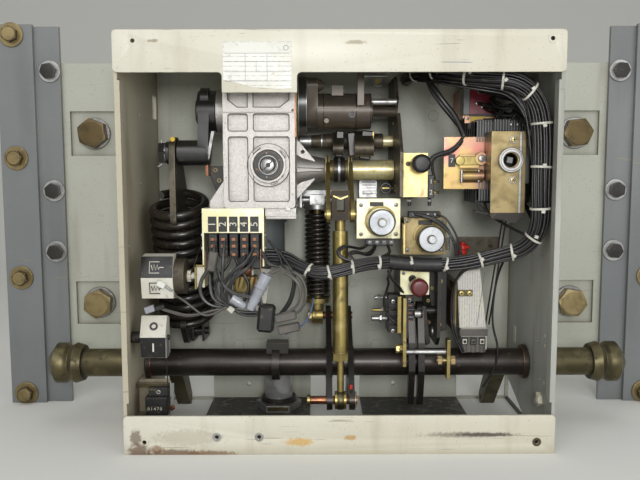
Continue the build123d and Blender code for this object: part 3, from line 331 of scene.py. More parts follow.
def darkened(name, look):  # oiled, lacquered or black steel
    paint = Paint(name, look["base"], look["roughness"], look.get("metallic", 0.35), look.get("coat", 0.1))
    paint.lay(paint.cloud(0.42, 0.66, 26, 4), look["second"])
    rub = paint.edges(0.0012) * paint.cloud(0.38, 0.62, 70, 3)
    paint.lay(rub * look["rub"], look["bare"], 0.34, 0.9)
    paint.lay(paint.cloud(0.60, 0.76, 180, 5) * 0.35, look.get("dust", (112, 98, 78)), 0.8, 0.0)
    paint.swell(paint.noise(800, 2), 0.08)
    paint.done()


darkLooks = {
    # black steel, its base set a step darker to carry the shade it stands in: partly painted shade
    "blackSteel": {"base": (36, 34, 32), "second": (48, 44, 40), "bare": (130, 118, 98),
        "roughness": 0.36, "rub": 0.7},
    "shaftSteel": {"base": (56, 50, 45), "second": (45, 41, 38), "bare": (150, 132, 104), "roughness": 0.34,
        "rub": 0.8, "metallic": 0.5},
    "hubSteel": {"base": (78, 70, 61), "second": (58, 52, 46), "bare": (150, 132, 104), "roughness": 0.4,
        "rub": 0.6, "metallic": 0.4, "dust": (128, 88, 54)},
    "brownOxide": {"base": (46, 38, 28), "second": (62, 51, 36), "bare": (190, 168, 110), "roughness": 0.7,
        "rub": 0.8, "metallic": 0, "coat": 0},
    "blackEnamel": {"base": (21, 21, 21), "second": (28, 27, 26), "bare": (120, 112, 96), "roughness": 0.3,
        "rub": 0.5, "metallic": 0, "coat": 0.5},
    "springSteel": {"base": (40, 36, 33), "second": (52, 46, 40), "bare": (120, 104, 86), "roughness": 0.24,
        "rub": 0.4, "coat": 0.3},
}
for name, look in darkLooks.items():
    darkened(name, look)


def moulded(name, look):  # plastics
    paint = Paint(name, look["base"], look["roughness"], coat=look.get("coat", 0.0))
    paint.lay(paint.cloud(0.4, 0.7, 30, 3), look["second"])
    paint.lay(paint.cloud(0.58, 0.75, 160, 5) * 0.4, (122, 112, 92), 0.75)
    paint.swell(paint.noise(1500, 2), 0.05)
    paint.done(look.get("rounding", 0.0004))


plasticLooks = {
    "blackPlastic": {"base": (25, 25, 26), "second": (34, 33, 33), "roughness": 0.42},
    "greyPlastic": {"base": (126, 128, 126), "second": (110, 112, 110), "roughness": 0.45},
    "whitePlastic": {"base": (216, 214, 202), "second": (204, 200, 185), "roughness": 0.42},
    "maroonPlastic": {"base": (92, 20, 26), "second": (76, 16, 22), "roughness": 0.35, "coat": 0.3},
    "relayRed": {"base": (132, 26, 46), "second": (106, 20, 38), "roughness": 0.3, "coat": 0.4},
    "bootRed": {"base": (196, 40, 30), "second": (170, 34, 28), "roughness": 0.4},
    "cableBlack": {"base": (23, 23, 24), "second": (33, 32, 32), "roughness": 0.36, "coat": 0.2},
    "labelPaper": {"base": (226, 226, 218), "second": (214, 212, 200), "roughness": 0.5},
    "yellowLabel": {"base": (214, 178, 60), "second": (196, 160, 52), "roughness": 0.45},
    "tieWhite": {"base": (206, 204, 192), "second": (190, 188, 176), "roughness": 0.4},
    "blueWire": {"base": (70, 92, 130), "second": (58, 78, 112), "roughness": 0.4},
    "greyWire": {"base": (96, 92, 87), "second": (78, 75, 72), "roughness": 0.4},
    "frostedSleeve": {"base": (170, 173, 180), "second": (148, 151, 160), "roughness": 0.2, "coat": 0.6,
        "rounding": 0.0005},
    "castingShadowLine": {"base": (92, 88, 84), "second": (74, 70, 67), "roughness": 0.5,
        "rounding": 0.0003},
}
for name, look in plasticLooks.items():
    moulded(name, look)


def ruled(name, look):  # paper with printed rules, upright or across
    paint = Paint(name, look["paper"], 0.45, coat=0.15)
    paint.lay(paint.cloud(0.45, 0.7, 24, 4), (212, 208, 190))
    split = paint.node("ShaderNodeSeparateXYZ", {}, {0: paint.place}, look["across"])
    row = paint.node("ShaderNodeMath", {"operation": "FRACT"}, {0: split * (1000 / look["pitch"])})
    lines = 1 - paint.between(row, look["line"], look["line"] + 0.1)
    paint.lay(lines * paint.cloud(0.40, 0.5, 300, 3, look["stretch"]) * 0.7, look["ink"])
    paint.lay(paint.cloud(0.62, 0.72, 110, 4) * 0.5, (176, 164, 130))
    paint.done(0.0003)


paperLooks = {
    "ruledPaper": {"paper": (228, 228, 222), "ink": (128, 132, 138), "pitch": 5.2, "line": 0.07,
        "across": "Z", "stretch": (1, 1, 6)},
    "columnPaper": {"paper": (206, 203, 197), "ink": (96, 96, 98), "pitch": 3.1, "line": 0.12,
        "across": "X", "stretch": (6, 1, 1)},
}
for name, look in paperLooks.items():
    ruled(name, look)
print("finishes ready")

# Making and placing pieces
crease = radians(34)


def vertsOf(grown):
    return [item for item in grown["geom"] if isinstance(item, bmesh.types.BMVert)]


def sharpEdges(mesh):
    return [edge for edge in mesh.edges if len(edge.link_faces) == 2 and edge.calc_face_angle(0) > crease]


def facing(place, normal, turn):  # stands a piece that was made upright on a face
    stand = Matrix.Translation(at(*place)) @ Vector(normal).to_track_quat("Z", "Y").to_matrix().to_4x4()
    return stand @ Matrix.Rotation(radians(turn), 4, "Z")


def finished(name, mesh, paint, body, replaced=None):
    for edge in mesh.edges:
        edge.smooth = len(edge.link_faces) == 2 and edge.calc_face_angle(0) < crease
    for face in mesh.faces:
        face.smooth = True
    data = bpy.data.meshes.new(name)
    mesh.to_mesh(data)
    mesh.free()
    data.materials.append(bpy.data.materials[paint])
    piece = bpy.data.objects.new(name, data)
    scene.collection.objects.link(piece)
    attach(piece, body)
    if replaced:
        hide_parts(replaced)


def softened(node, paint, bevel):  # a CAD node merged, smoothed and rounded
    mesh = bmesh.new()
    mesh.from_mesh(frame["nodes"][node].data)
    bmesh.ops.remove_doubles(mesh, verts=mesh.verts, dist=0.000005)
    bmesh.ops.dissolve_limit(mesh, angle_limit=radians(0.5), verts=mesh.verts, edges=mesh.edges)
    if bevel:
        bmesh.ops.bevel(mesh, geom=sharpEdges(mesh), offset=bevel * 0.001, offset_type="OFFSET",
                        affect="EDGES", segments=2, profile=0.5, material=-1, clamp_overlap=True)
    finished(node + "Finish", mesh, paint, bodyOf[node], node)


coats = {  # the CAD nodes that keep their own form, by finish
    "ivoryEnamel": "top_panel", "greasyFloor": "bottom_panel", "warmInnerWall": "left_wall counter_bracket",
    "greyInnerWall": "right_wall", "paleGreenGreyPlate": "rear_plate window_pads",
    "blueGreyEnamel": "inner_strips outer_strips", "sandCastAluminium": "gear_case",
    "blackSteel": "crank_coupling spring_anchor drive_levers damper_lever indicator_stub "
                  "latch_frame latch_claws",
    "motorEnamel": "motor", "agedSteel": "bearing_plate spring_strap latch_shaft stop_plate",
    "hubSteel": "closing_cam", "blackEnamel": "closing_crank", "shaftSteel": "main_shaft",
    "oliveSteel": "shaft_couplings pole_levers", "copperTone": "lever_pins",
    "brightZinc": "damper spring_seat spring_bracket",
    "oliveBrass": "follower_lever push_rod spring_guide link_plates", "brightBrass": "follower_shaft",
    "brownOxide": "push_rod_fork", "whitePlastic": "position_indicator spring_indicator",
    "blackPlastic": "counter limit_switches close_knob contact_block aux_switch",
    "paleZinc": "switch_bracket closing_coil", "oliveGold": "trip_coil aux_channel",
    "yellowZinc": "close_box", "maroonPlastic": "trip_knob", "pinkZinc": "aux_plate relay_base",
    "relayRed": "relay", "tieWhite": "release_unit",
}
bevels = {"top_panel": 1.2, "bottom_panel": 1.2, "close_knob": 1.0, "trip_knob": 1.0}
for paint, nodes in coats.items():
    for node in nodes.split():
        softened(node, paint, bevels.get(node, 0.0))
print("frame pieces dressed")


class Tray:  # small pieces of one region, in housing millimetres, joined by finish when set down
    def __init__(self, name, body="housing"):
        self.name = name
        self.body = body
        self.meshes = {}

    def add(self, paint, build):  # builds in a mesh of its own, so that normals and bevels stay apart
        mesh = bmesh.new()
        build(mesh)
        bmesh.ops.recalc_face_normals(mesh, faces=mesh.faces)
        piece = bpy.data.meshes.new("loose")
        mesh.to_mesh(piece)
        mesh.free()
        self.meshes.setdefault(paint, bmesh.new()).from_mesh(piece)
        bpy.data.meshes.remove(piece)

    def put(self, shape, paint, *rows):  # several pieces of one shape and finish
        for row in rows:
            getattr(self, shape)(paint, *row)

    def box(self, paint, low, high, bevel=0.3, turn=0.0):
        def build(mesh):
            start, end = at(*low), at(*high)
            size = end - start
            bmesh.ops.create_cube(mesh, size=1, matrix=Matrix.Diagonal((*size, 1)))
            bmesh.ops.bevel(mesh, geom=mesh.edges[:], offset=min(bevel * 0.001, min(size) * 0.3),
                            affect="EDGES", segments=1, profile=0.5, material=-1)
            spin = Matrix.Translation((start + end) / 2) @ Matrix.Rotation(radians(turn), 4, "Y")
            bmesh.ops.transform(mesh, matrix=spin, verts=mesh.verts)
        self.add(paint, build)

    def lathe(self, paint, start, towards, stations, segments=32):  # stations are (radius, way along)
        def build(mesh):
            first = at(*start)
            along = Vector(towards).normalized()
            side = along.orthogonal().normalized()
            verts = [mesh.verts.new(first + (along * way + side * reach) * 0.001) for reach, way in stations]
            edges = [mesh.edges.new(pair) for pair in zip(verts, verts[1:])]
            bmesh.ops.spin(mesh, geom=verts + edges, cent=first, axis=along, angle=2 * pi, steps=segments,
                           use_merge=True)
            bmesh.ops.remove_doubles(mesh, verts=mesh.verts, dist=0.000001)
        self.add(paint, build)

    def stud(self, paint, start, towards, foot, shoulder, height, segments=16):  # shoulder is (radius, way)
        self.lathe(paint, start, towards, [(0, 0), (foot, 0), shoulder, (0, height)], segments)

    def rod(self, paint, start, end, radius, segments=20):
        run = Vector(end) - Vector(start)
        edge = min(radius * 0.2, 0.4)
        inner, last = radius - edge, run.length
        stations = [(0, 0), (inner, 0), (radius, edge), (radius, last - edge), (inner, last), (0, last)]
        self.lathe(paint, start, run, stations, segments)

    def ring(self, paint, start, towards, inner, outer, height, segments=32):
        edge = min(height, outer - inner) * 0.25
        stations = [(inner, 0), (outer, 0), (outer, height - edge), (outer - edge, height),
                    (inner + edge, height), (inner, height - edge), (inner, 0)]
        self.lathe(paint, start, towards, stations, segments)

    def hexagon(self, paint, place, normal, flats, height, turn=0.0):
        def build(mesh):
            half = flats * 0.0005
            bmesh.ops.create_cone(mesh, cap_ends=True, segments=48, radius1=half, radius2=half,
                                  depth=height * 0.001)
            cap = max(mesh.faces, key=lambda face: face.calc_center_median().z)
            for vert in mesh.verts:
                angle = atan2(vert.co.y, vert.co.x)
                reach = half / cos((angle + pi / 6) % (pi / 3) - pi / 6)
                lowered = (reach - half) * 0.6 if vert.co.z > 0 else 0
                vert.co = (cos(angle) * reach, sin(angle) * reach, vert.co.z + height * 0.0005 - lowered)
            for vert in vertsOf(bmesh.ops.extrude_face_region(mesh, geom=[cap])):
                angle = atan2(vert.co.y, vert.co.x)
                vert.co = (cos(angle) * half * 0.94, sin(angle) * half * 0.94, height * 0.001)
            bmesh.ops.transform(mesh, matrix=facing(place, normal, turn), verts=mesh.verts)
        self.add(paint, build)

    def sheet(self, paint, points, depth, bevel=0.2):  # an outline given a thickness vector
        def build(mesh):
            face = mesh.faces.new([mesh.verts.new(at(*point)) for point in points])
            grown = bmesh.ops.extrude_face_region(mesh, geom=[face], use_keep_orig=True)
            bmesh.ops.translate(mesh, vec=Vector(depth) * 0.001, verts=vertsOf(grown))
            if bevel:
                bmesh.ops.bevel(mesh, geom=mesh.edges[:], offset=bevel * 0.001, affect="EDGES", segments=1,
                                profile=0.5, material=-1)
        self.add(paint, build)

    def panel(self, paint, y, outline, thick, bevel=0.2):  # a sheet that faces forwards
        self.sheet(paint, [(x, y, z) for x, z in outline], (0, thick, 0), bevel)

    def screw(self, paint, place, normal, radius, height=2.0, turn=20.0):
        stations = [(0, 0), (radius, 0), (radius, height * 0.45), (radius * 0.86, height * 0.8),
                    (radius * 0.5, height), (0, height)]
        self.lathe(paint, place, normal, stations, 20)
        top = Vector(place) + Vector(normal).normalized() * (height - 0.25)
        for extra in (0, 90):
            def build(mesh):
                size = Matrix.Diagonal((radius * 1.3e-3, radius * 0.3e-3, 0.0006, 1))
                bmesh.ops.create_cube(mesh, size=1, matrix=size)
                bmesh.ops.transform(mesh, matrix=facing(top, normal, turn + extra), verts=mesh.verts)
            self.add("blackPlastic", build)

    def letters(self, paint, words, place, size, turn=Matrix()):  # plain figures, facing forwards
        text = bpy.data.curves.new("letters", "FONT")
        text.body = words
        text.size = size * 0.001
        text.align_x = "CENTER"
        text.align_y = "CENTER"
        text.extrude = 0.00012
        text.resolution_u = 3
        holder = bpy.data.objects.new("letters", text)
        flat = bpy.data.meshes.new_from_object(holder)
        flat.transform(Matrix.Translation(at(*place)) @ turn @ Matrix.Rotation(pi / 2, 4, "X"))
        self.meshes.setdefault(paint, bmesh.new()).from_mesh(flat)
        bpy.data.objects.remove(holder)

    def setDown(self, replaced=None):
        for paint, mesh in self.meshes.items():
            finished(self.name + paint[0].upper() + paint[1:], mesh, paint, self.body, replaced)
            replaced = None


def wires(name, routes, radius, paint="cableBlack", body="housing", kind="NURBS", rounds=2, steps=6,
          replaced=None):
    curve = bpy.data.curves.new(name, "CURVE")
    curve.dimensions = "3D"
    curve.bevel_depth = radius * 0.001
    curve.bevel_resolution = rounds
    curve.resolution_u = steps
    curve.use_fill_caps = True
    for route in routes:
        spline = curve.splines.new(kind)
        spline.points.add(len(route) - 1)
        for point, place in zip(spline.points, route):
            point.co = (*at(*place), 1)
        if kind == "NURBS":
            spline.order_u = 3
            spline.use_endpoint_u = True
    curve.materials.append(bpy.data.materials[paint])
    piece = bpy.data.objects.new(name, curve)
    if kind == "POLY":  # a spring is kept as a mesh, so that it can be squashed
        swept = bpy.data.meshes.new_from_object(piece)
        bpy.data.objects.remove(piece)
        swept.shade_smooth()
        piece = bpy.data.objects.new(name, swept)
    scene.collection.objects.link(piece)
    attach(piece, body)
    if replaced:
        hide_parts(replaced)
    return piece


# Springs, wound from round wire
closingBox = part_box("closing_spring")
closingLook = {"x": (closingBox[0].x + closingBox[1].x) * 500, "low": (153.0, 131.0), "high": (100.0, 291.0),
               "turns": 13.15, "radius": 32.3, "wire": 5.7, "steps": 28}


def wound(look, turn):  # a place on the closing spring's wire
    (lowY, lowZ), (highY, highZ) = look["low"], look["high"]
    along = hypot(highY - lowY, highZ - lowZ)
    lean = Vector((0, highY - lowY, highZ - lowZ)) / along
    rear = Vector((0, lean.z, -lean.y))
    spin = 2 * pi * turn
    middle = Vector((look["x"], lowY, lowZ)) + lean * along * turn / look["turns"]
    return middle + (rear * cos(spin) - Vector((1, 0, 0)) * sin(spin)) * look["radius"]


coilSteps = range(int(closingLook["turns"] * closingLook["steps"]) + 1)
coilPath = [wound(closingLook, step / closingLook["steps"]) for step in coilSteps]
wires("closingCoil", [coilPath], closingLook["wire"], "springSteel", kind="POLY", rounds=5,
      replaced="closing_spring")
tips = Tray("closingSpringTip")
tipEnd = wound(closingLook, closingLook["turns"])
tipRun = tipEnd - wound(closingLook, closingLook["turns"] - 0.01)
tips.lathe("brightZinc", tipEnd, tipRun, [(0, 0), (5.2, 0), (5.0, 0.4), (0, 0.4)], 24)
tips.setDown()

openingLook = {"x": -25.0, "y": 160.0, "low": 159.0, "high": 273.6, "turns": 18.6, "radius": 15.0,
               "wire": 2.6, "steps": 24}
openingPath = []
for step in range(int(openingLook["turns"] * openingLook["steps"]) + 1):
    turn = step / openingLook["steps"]
    rise = (openingLook["high"] - openingLook["low"]) * turn / openingLook["turns"]
    openingPath.append((openingLook["x"] + cos(2 * pi * turn) * openingLook["radius"],
                        openingLook["y"] + sin(2 * pi * turn) * openingLook["radius"],
                        openingLook["low"] + rise))
openingCoil = wires("openingCoil", [openingPath], openingLook["wire"], "springSteel", "spring_swivel",
                    kind="POLY", rounds=3, replaced="opening_spring")
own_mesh(openingCoil)
print("springs wound")

# Wiring
harnessRoute = [(98, 198, 452), (98, 150, 452), (108, 100, 450), (132, 58, 442), (170, 34, 435),
    (206, 26, 430), (231, 27, 405), (235, 28, 358), (233, 27, 305), (235, 28, 262), (222, 36, 236),
    (190, 44, 226), (150, 48, 216), (108, 50, 215), (66, 47, 219), (30, 40, 218), (2, 36, 210),
    (-24, 36, 206), (-47, 43, 215), (-66, 50, 227), (-88, 50, 227)]
bundleLook = {"wire": 1.55, "twist": 0.22, "seed": 4, "rings": ((1, 0), (6, 3.6), (11, 7), (10, 9.3)),
    "girth": (0.7, 0.8, 0.9, 1, 1.08, 1.08, 1.05, 1.02, 1, 1, 0.9, 0.8, 0.74, 0.66, 0.66, 0.72, 0.72, 0.7,
    0.7, 0.72, 0.7), "slip": 0.2, "stray": 0.6}
chance = Random(bundleLook["seed"])


def bundled(route, look):  # the wires of a bundle, side by side about its route
    places = [Vector(place) for place in route]
    lines = []
    for count, reach in look["rings"]:
        for index in range(count):
            start = 2 * pi * index / count + chance.uniform(-look["slip"], look["slip"])
            line = []
            for number, place in enumerate(places):
                run = places[min(number + 1, len(places) - 1)] - places[max(number - 1, 0)]
                side = run.cross(Vector((0, -1, 0.15))).normalized()
                over = side.cross(run).normalized()
                turn = start + look["twist"] * number
                out = (reach + chance.uniform(-look["stray"], look["stray"])) * look["girth"][number]
                line.append(place + (side * cos(turn) + over * sin(turn)) * out)
            lines.append(line)
    return lines


wires("mainHarness", bundled(harnessRoute, bundleLook), bundleLook["wire"], rounds=1, steps=5,
      replaced="harness_main")
sleeveRoute = [(112, 91.5, 440.5), (118, 84, 428), (130, 80, 410), (146, 82, 392), (156, 86.5, 370.6)]
wires("plateSleeve", [sleeveRoute], 3.5, rounds=3, replaced="harness_sleeve")
conduitRoute = [(60, 46.6, 219.5), (78, 48, 217), (94, 49.4, 215.6), (112, 50.4, 215.2), (124, 50.2, 215.2)]
wires("blackConduit", [conduitRoute], 9.2, "blackPlastic", rounds=4, steps=8)
ties = Tray("cableTies")
tieLook = {"reach": 10.2, "over": 0.7, "thick": 1.1, "wide": 2.6, "lug": Vector((1.9, 1.6, 2.2)),
           "lean": (0.12, -0.08, 0.3, -0.1, 0.05, 0.16, -0.12, 0.2, -0.3, 0.1)}
for segment in range(1, 18):
    first, second = Vector(harnessRoute[segment]), Vector(harnessRoute[segment + 1])
    middle = (first + second) / 2
    run = ((second - first).normalized() + Vector((0, 0, tieLook["lean"][segment % 10]))).normalized()
    girth = (bundleLook["girth"][segment] + bundleLook["girth"][segment + 1]) / 2
    reach = tieLook["reach"] * girth + tieLook["over"]
    ties.ring("tieWhite", middle - run * 1.3, run, reach, reach + tieLook["thick"], tieLook["wide"], 28)
    lug = middle + Vector((0, -reach - 0.4, 2 if segment % 2 else -3))
    ties.box("tieWhite", lug - tieLook["lug"], lug + tieLook["lug"], 0.4, 12 * segment)
ties.setDown()
print("main wiring laid")

# Lips, strips and rear plate
trim = Tray("housingTrim")
for x, z, paint in ((-226, 15, "ivoryEnamel"), (-142, 21, "brightZinc"), (-93, 21, "brightZinc"),
        (229, 14, "oliveSteel"), (-227, 470, "ivoryEnamel"), (234, 472, "ivoryEnamel")):
    trim.ring(paint, (x, 0.1, z), front, 2.4, 5.2, 0.35, 28)
stripBolts = {"outer": 439, "inner": 391, "washer": 16.5, "flats": 19, "height": 8}
for side in (-1, 1):
    for row, z in enumerate((14, 180, 346, 512)):
        seat = (side * stripBolts["outer"], 186, z)
        trim.ring("oliveGold", seat, front, 6, stripBolts["washer"], 2.6)
        trim.hexagon("bronzeHead", (seat[0], 183.4, z), front, stripBolts["flats"], stripBolts["height"],
            row * 23 + side * 11)
        trim.stud("oliveGold", (seat[0], 175.5, z), front, 8.8, (8.4, 0.5), 0.6, 32)
    for row, z in enumerate((53, 216, 301, 464)):
        seat = (side * stripBolts["inner"], 192, z)
        trim.ring("brightZinc", seat, front, 5, stripBolts["washer"] - 1.5, 2.6)
        trim.hexagon("blackSteel", (seat[0], 189.4, z), front, stripBolts["flats"], stripBolts["height"],
            row * 31 - side * 7)
for x, z in ((58.6, 450.3), (136.6, 449.5)):
    trim.ring("brightZinc", (x, 198, z), front, 3, 8, 1.4)
    trim.hexagon("yellowZinc", (x, 196.6, z), front, 8, 4, x)
for x, z, radius in ((24.9, 169.2, 6), (-138, 120, 4), (58, 120, 4)):
    trim.ring("paleGreenGreyPlate", (x, 198, z), front, radius - 0.8, radius, 0.4)
trim.setDown()
wallLook = {"face": 246, "left": ((13.2, 411.7), (21.2, 411.4), (97.5, 397.4), (93.8, 313.1), (12.9, 277),
    (32.2, 240.5), (17.2, 220.1), (19, 214)), "right": ((33.4, 131.2), (58.7, 118.9), (32.3, 119.3),
    (47, 74.5), (31.9, 74.2), (115, 180))}
wallMarksAndSlotLight = Tray("wallMarksAndSlotLight")
for side, places in ((-1, wallLook["left"]), (1, wallLook["right"])):
    for number, (y, z) in enumerate(places):
        wallMarksAndSlotLight.stud("whitePlastic", (side * wallLook["face"], y, z), (-side, 0, 0), 2.6 - number % 2,
            (2.2 - number % 2, 0.25), 0.3)
wallMarksAndSlotLight.hexagon("ivoryEnamel", (wallLook["face"], 43, 50.5), left, 15, 6, 12)
# a white patch on the right wall where its slot is: painted light showing through the slot
wallMarksAndSlotLight.box("whitePlastic", (245.7, 154, 92), (246.2, 165, 116), 0.1)
wallMarksAndSlotLight.setDown()
windowBolts = Tray("windowBolts")
for side in (-1, 1):
    for z, paint, turn in ((142, "oliveGold", 8), (380, "bronzeHead", 22)):
        windowBolts.ring("brightZinc", (side * 335, 203, z), front, 13, 22, 4.2, 48)
        windowBolts.hexagon(paint, (side * 335, 199, z), front, 36, 15, turn + 14 * side)
        windowBolts.stud(paint, (side * 335, 184.1, z), front, 16.8, (16.2, 0.7), 0.8, 48)
windowBolts.setDown(replaced="frame_bolts")
print("housing trimmed")

# Label on the drop tab: bare paper with ruled rows
label = Tray("plainLabel")
labelLook = {"left": -128.5, "right": -53.0, "bottom": 417.5, "top": 469.0}
x0, x1, z0, z1 = labelLook.values()
label.panel("ruledPaper", -0.02, [(x0, z1), (x1, z1), (x1, z0 + 1), (-70, z0), (-96, z0 + 2.2),
    (-112, z0 + 6.4), (x0 + 4, z0 + 9.5), (x0, z0 + 10)], -0.35, 0)
label.box("labelPaper", (x0 + 1.5, -0.5, z1 - 12), (x1 - 1.5, -0.3, z1 - 1.5), 0.05)
for z in (z1 - 13, z1 - 22, z1 - 33, z1 - 43):
    label.box("greyPlastic", (x0 + 2, -0.46, z), (x1 - 2, -0.36, z + 0.35), 0.02)
for x, low, high in ((-104, z1 - 43, z1 - 13), (-80, z1 - 43, z1 - 13), (-92, z1 - 33, z1 - 22)):
    label.box("greyPlastic", (x, -0.46, low), (x + 0.35, -0.36, high), 0.02)
label.ring("greyPlastic", (x1 - 6, -0.42, z1 - 7), front, 2.3, 2.9, 0.12)
label.setDown()

# Gear case: seal and rings in the boss, painted shadow lines round the pockets and the boss, gasket, plates
# beside it
case = Tray("gearCaseTrim")
bossX, bossZ = -82, 334.5
case.ring("blackPlastic", (bossX, 34.5, bossZ), front, 11.2, 17.8, 1.6, 48)
case.ring("brightZinc", (bossX, 33.6, bossZ), front, 10.2, 11.4, 1.4, 48)
case.ring("blackSteel", (bossX, 33, bossZ), front, 14.4, 17.2, 0.4, 48)
for angle, reach, wide in ((128, 22, 5), (38, 22, 5), (-72, 22, 4)):
    place = Vector((bossX + reach * cos(radians(angle)), 36.5, bossZ + reach * sin(radians(angle))))
    case.box("sandCastAluminium", place - Vector((wide, 3.4, 1.2)), place + Vector((wide, 3.4, 1.2)),
        0.8, 90 - angle)
for angle in (25, 98, 200, 262):
    place = (bossX + 14 * cos(radians(angle)), 33, bossZ + 14 * sin(radians(angle)))
    case.stud("copperTone" if angle != 262 else "brightZinc", place, front, 0.9, (0.7, 0.5), 0.6, 12)
# dark lines round the pockets and the boss: painted shadow lines at the casting's edges
pockets = {"left": (-129, -106), "right": (-99.5, -57.5), "low": (292, 367.5), "high": (374, 394)}
pocketShadowLines = []
for x0, x1 in (pockets["left"], pockets["right"]):
    for z0, z1 in (pockets["low"], pockets["high"]):
        pocketShadowLines.append([(x0 + 2, 40, z0), (x1 - 2, 40, z0), (x1, 40, z0 + 2), (x1, 40, z1 - 2),
            (x1 - 2, 40, z1), (x0 + 2, 40, z1), (x0, 40, z1 - 2), (x0, 40, z0 + 2), (x0 + 2, 40, z0)])
for near, far, step in ((-129, -106, 11), (-57.5, -99.5, -11)):
    pocketShadowLines.append([(near, 40, 438), (near, 40, 410), (near + step, 40, 401.5), (far, 40, 401.5),
        (far, 40, 438)])
wires("castingShadowOutlines", pocketShadowLines, 0.55, "castingShadowLine", kind="POLY", rounds=1)
case.ring("castingShadowLine", (bossX, 40.1, bossZ), front, 24.6, 25.4, 0.3, 64)
case.put("box", "copperTone", ((-51.2, 42, 367), (-49.6, 150, 424), 0.2),
    ((-162.3, 79, 322), (-158.8, 96, 340.3), 0.3))
case.box("oliveBrass", (-49.6, 46, 368), (-48.9, 140, 423), 0.2)
for x, z in ((-53.6, 398.6), (-132, 383), (-132, 320), (-54, 300)):
    case.stud("blackSteel", (x, 40.05, z), front, 0.7, (0.5, 0.15), 0.2, 12)
case.panel("blackSteel", 100, [(-162, 334), (-136, 334), (-136, 306), (-145, 312), (-150, 298),
    (-160, 322)], 3, 0.4)
for x, z in ((-153, 329), (-148.5, 316)):
    case.ring("oliveBrass", (x, 99.8, z), front, 1.6, 2.6, 0.3, 16)
case.panel("brightZinc", 72, [(-153.5, 376), (-149.5, 376), (-156, 342), (-160, 342)], 3, 0.2)
case.box("brightZinc", (-142.6, 92, 334), (-139.5, 104, 373), 0.3)
case.rod("blackSteel", (-150, 72, 458), (-150, 72, 446), 2.2)
case.box("sandCastAluminium", (-87, 46, 270), (-49, 58, 276), 1.2)
for x in (-126, -60):
    case.hexagon("brightZinc", (x, 43, 283.6), front, 5.5, 2.6, 10)
case.setDown()

shaftEnd = Tray("crankShaftEnd", "hand_crank_shaft")
shaftEnd.lathe("brightZinc", (bossX, 33.1, bossZ), front,
    [(2.2, 0), (6.9, 0), (6.9, 0.7), (6.2, 1.1), (2.9, 1.1), (2.2, 0.5), (2.2, 0)], 40)
shaftEnd.stud("blackSteel", (bossX, 33, bossZ), front, 2.4, (2.2, 0.6), 0.7, 20)
shaftEnd.box("blackSteel", (bossX - 6.4, 31.7, bossZ - 0.8), (bossX + 6.4, 32.3, bossZ + 0.8), 0.1, -45)
shaftEnd.setDown()

# Closing crank: paint marks, split pin, collar
crank = Tray("crankTrim")
crank.ring("brightZinc", (-209.5, 82, 350), left, 7.2, 13, 1.6)
crank.put("rod", "brightZinc", ((-216, 82, 336), (-216, 82, 366), 1.3, 10),
    ((-216, 82, 336), (-221, 80, 333), 1.2, 10))
crank.stud("yellowLabel", (-199, 65, 366), front, 3.2, (2.4, 0.8), 1)
crank.box("oliveBrass", (-160, 79.5, 403), (-151, 80.4, 405), 0.2)
crank.setDown()

# Cam side: bright rings on the black disc's rims as painted highlights, grooves, socket screw
cam = Tray("camTrim")
for x in (-17.5, 22.6, 40.5):
    cam.ring("springSteel", (x, 105, 402), right, 21.6, 22.5, 0.9, 64)
cam.put("ring", "blackSteel", ((17.6, 84.2, 396.7), front, 2.6, 4.4, 1.1, 28),
    ((65.2, 140, 304.9), front, 4.6, 8, 3, 36))
cam.hexagon("blackPlastic", (17.6, 84, 396.7), front, 5, 0.5, 8)
cam.ring("springSteel", (-26, 85, 432), right, 5, 8.6, 2.2, 32)
cam.put("rod", "brightZinc", ((37.3, 170, 454), (69.3, 170, 454), 2.2, 14),
    ((-48, 132, 366), (-6, 132, 366), 7.6, 28), ((40, 98, 413), (74, 98, 413), 4, 24))
for z in (417, 402, 388, 372, 340):
    cam.ring("copperTone", (72.8, 128 - (z - 340) * 0.2, z), left, 0.8, 2.2, 1.2, 16)
cam.ring("brightZinc", (-20, 132, 366), right, 6.6, 9.6, 2, 32)
cam.rod("brightBrass", (50, 132, 366), (73.5, 132, 366), 7.2, 28)
for start, end, low, high, lean in ((-2, 9, 345, 379, 4), (14, 25, 346, 377, -5), (30, 45, 342, 379, 6)):
    cam.box("blackSteel", (start, 116, low), (end, 126, high), 1.6, lean)
cam.put("box", "yellowLabel", ((29.4, 114.8, 352), (37, 117, 368), 1.6, 22),
    ((39, 114.8, 349), (44.6, 117, 362), 1.4, -20))
cam.put("box", "oliveBrass", ((44.6, 117, 352), (48, 128, 378), 0.8),
    ((57, 137.6, 304), (75, 138.8, 306.2), 0.2))
cam.box("brightZinc", (32, 176, 291), (57, 178, 318), 0.4)
for z in (296, 300, 304, 308, 312):
    cam.box("shaftSteel", (36, 175.8, z), (55, 176.1, z + 0.7), 0.05)
for z in (302.5, 309):
    cam.ring("copperTone", (73.8, 100, z), left, 0.6, 2, 1, 16)
cam.rod("blackEnamel", (-47.6, 97, 410), (-37.4, 97, 410), 33.4, 72)
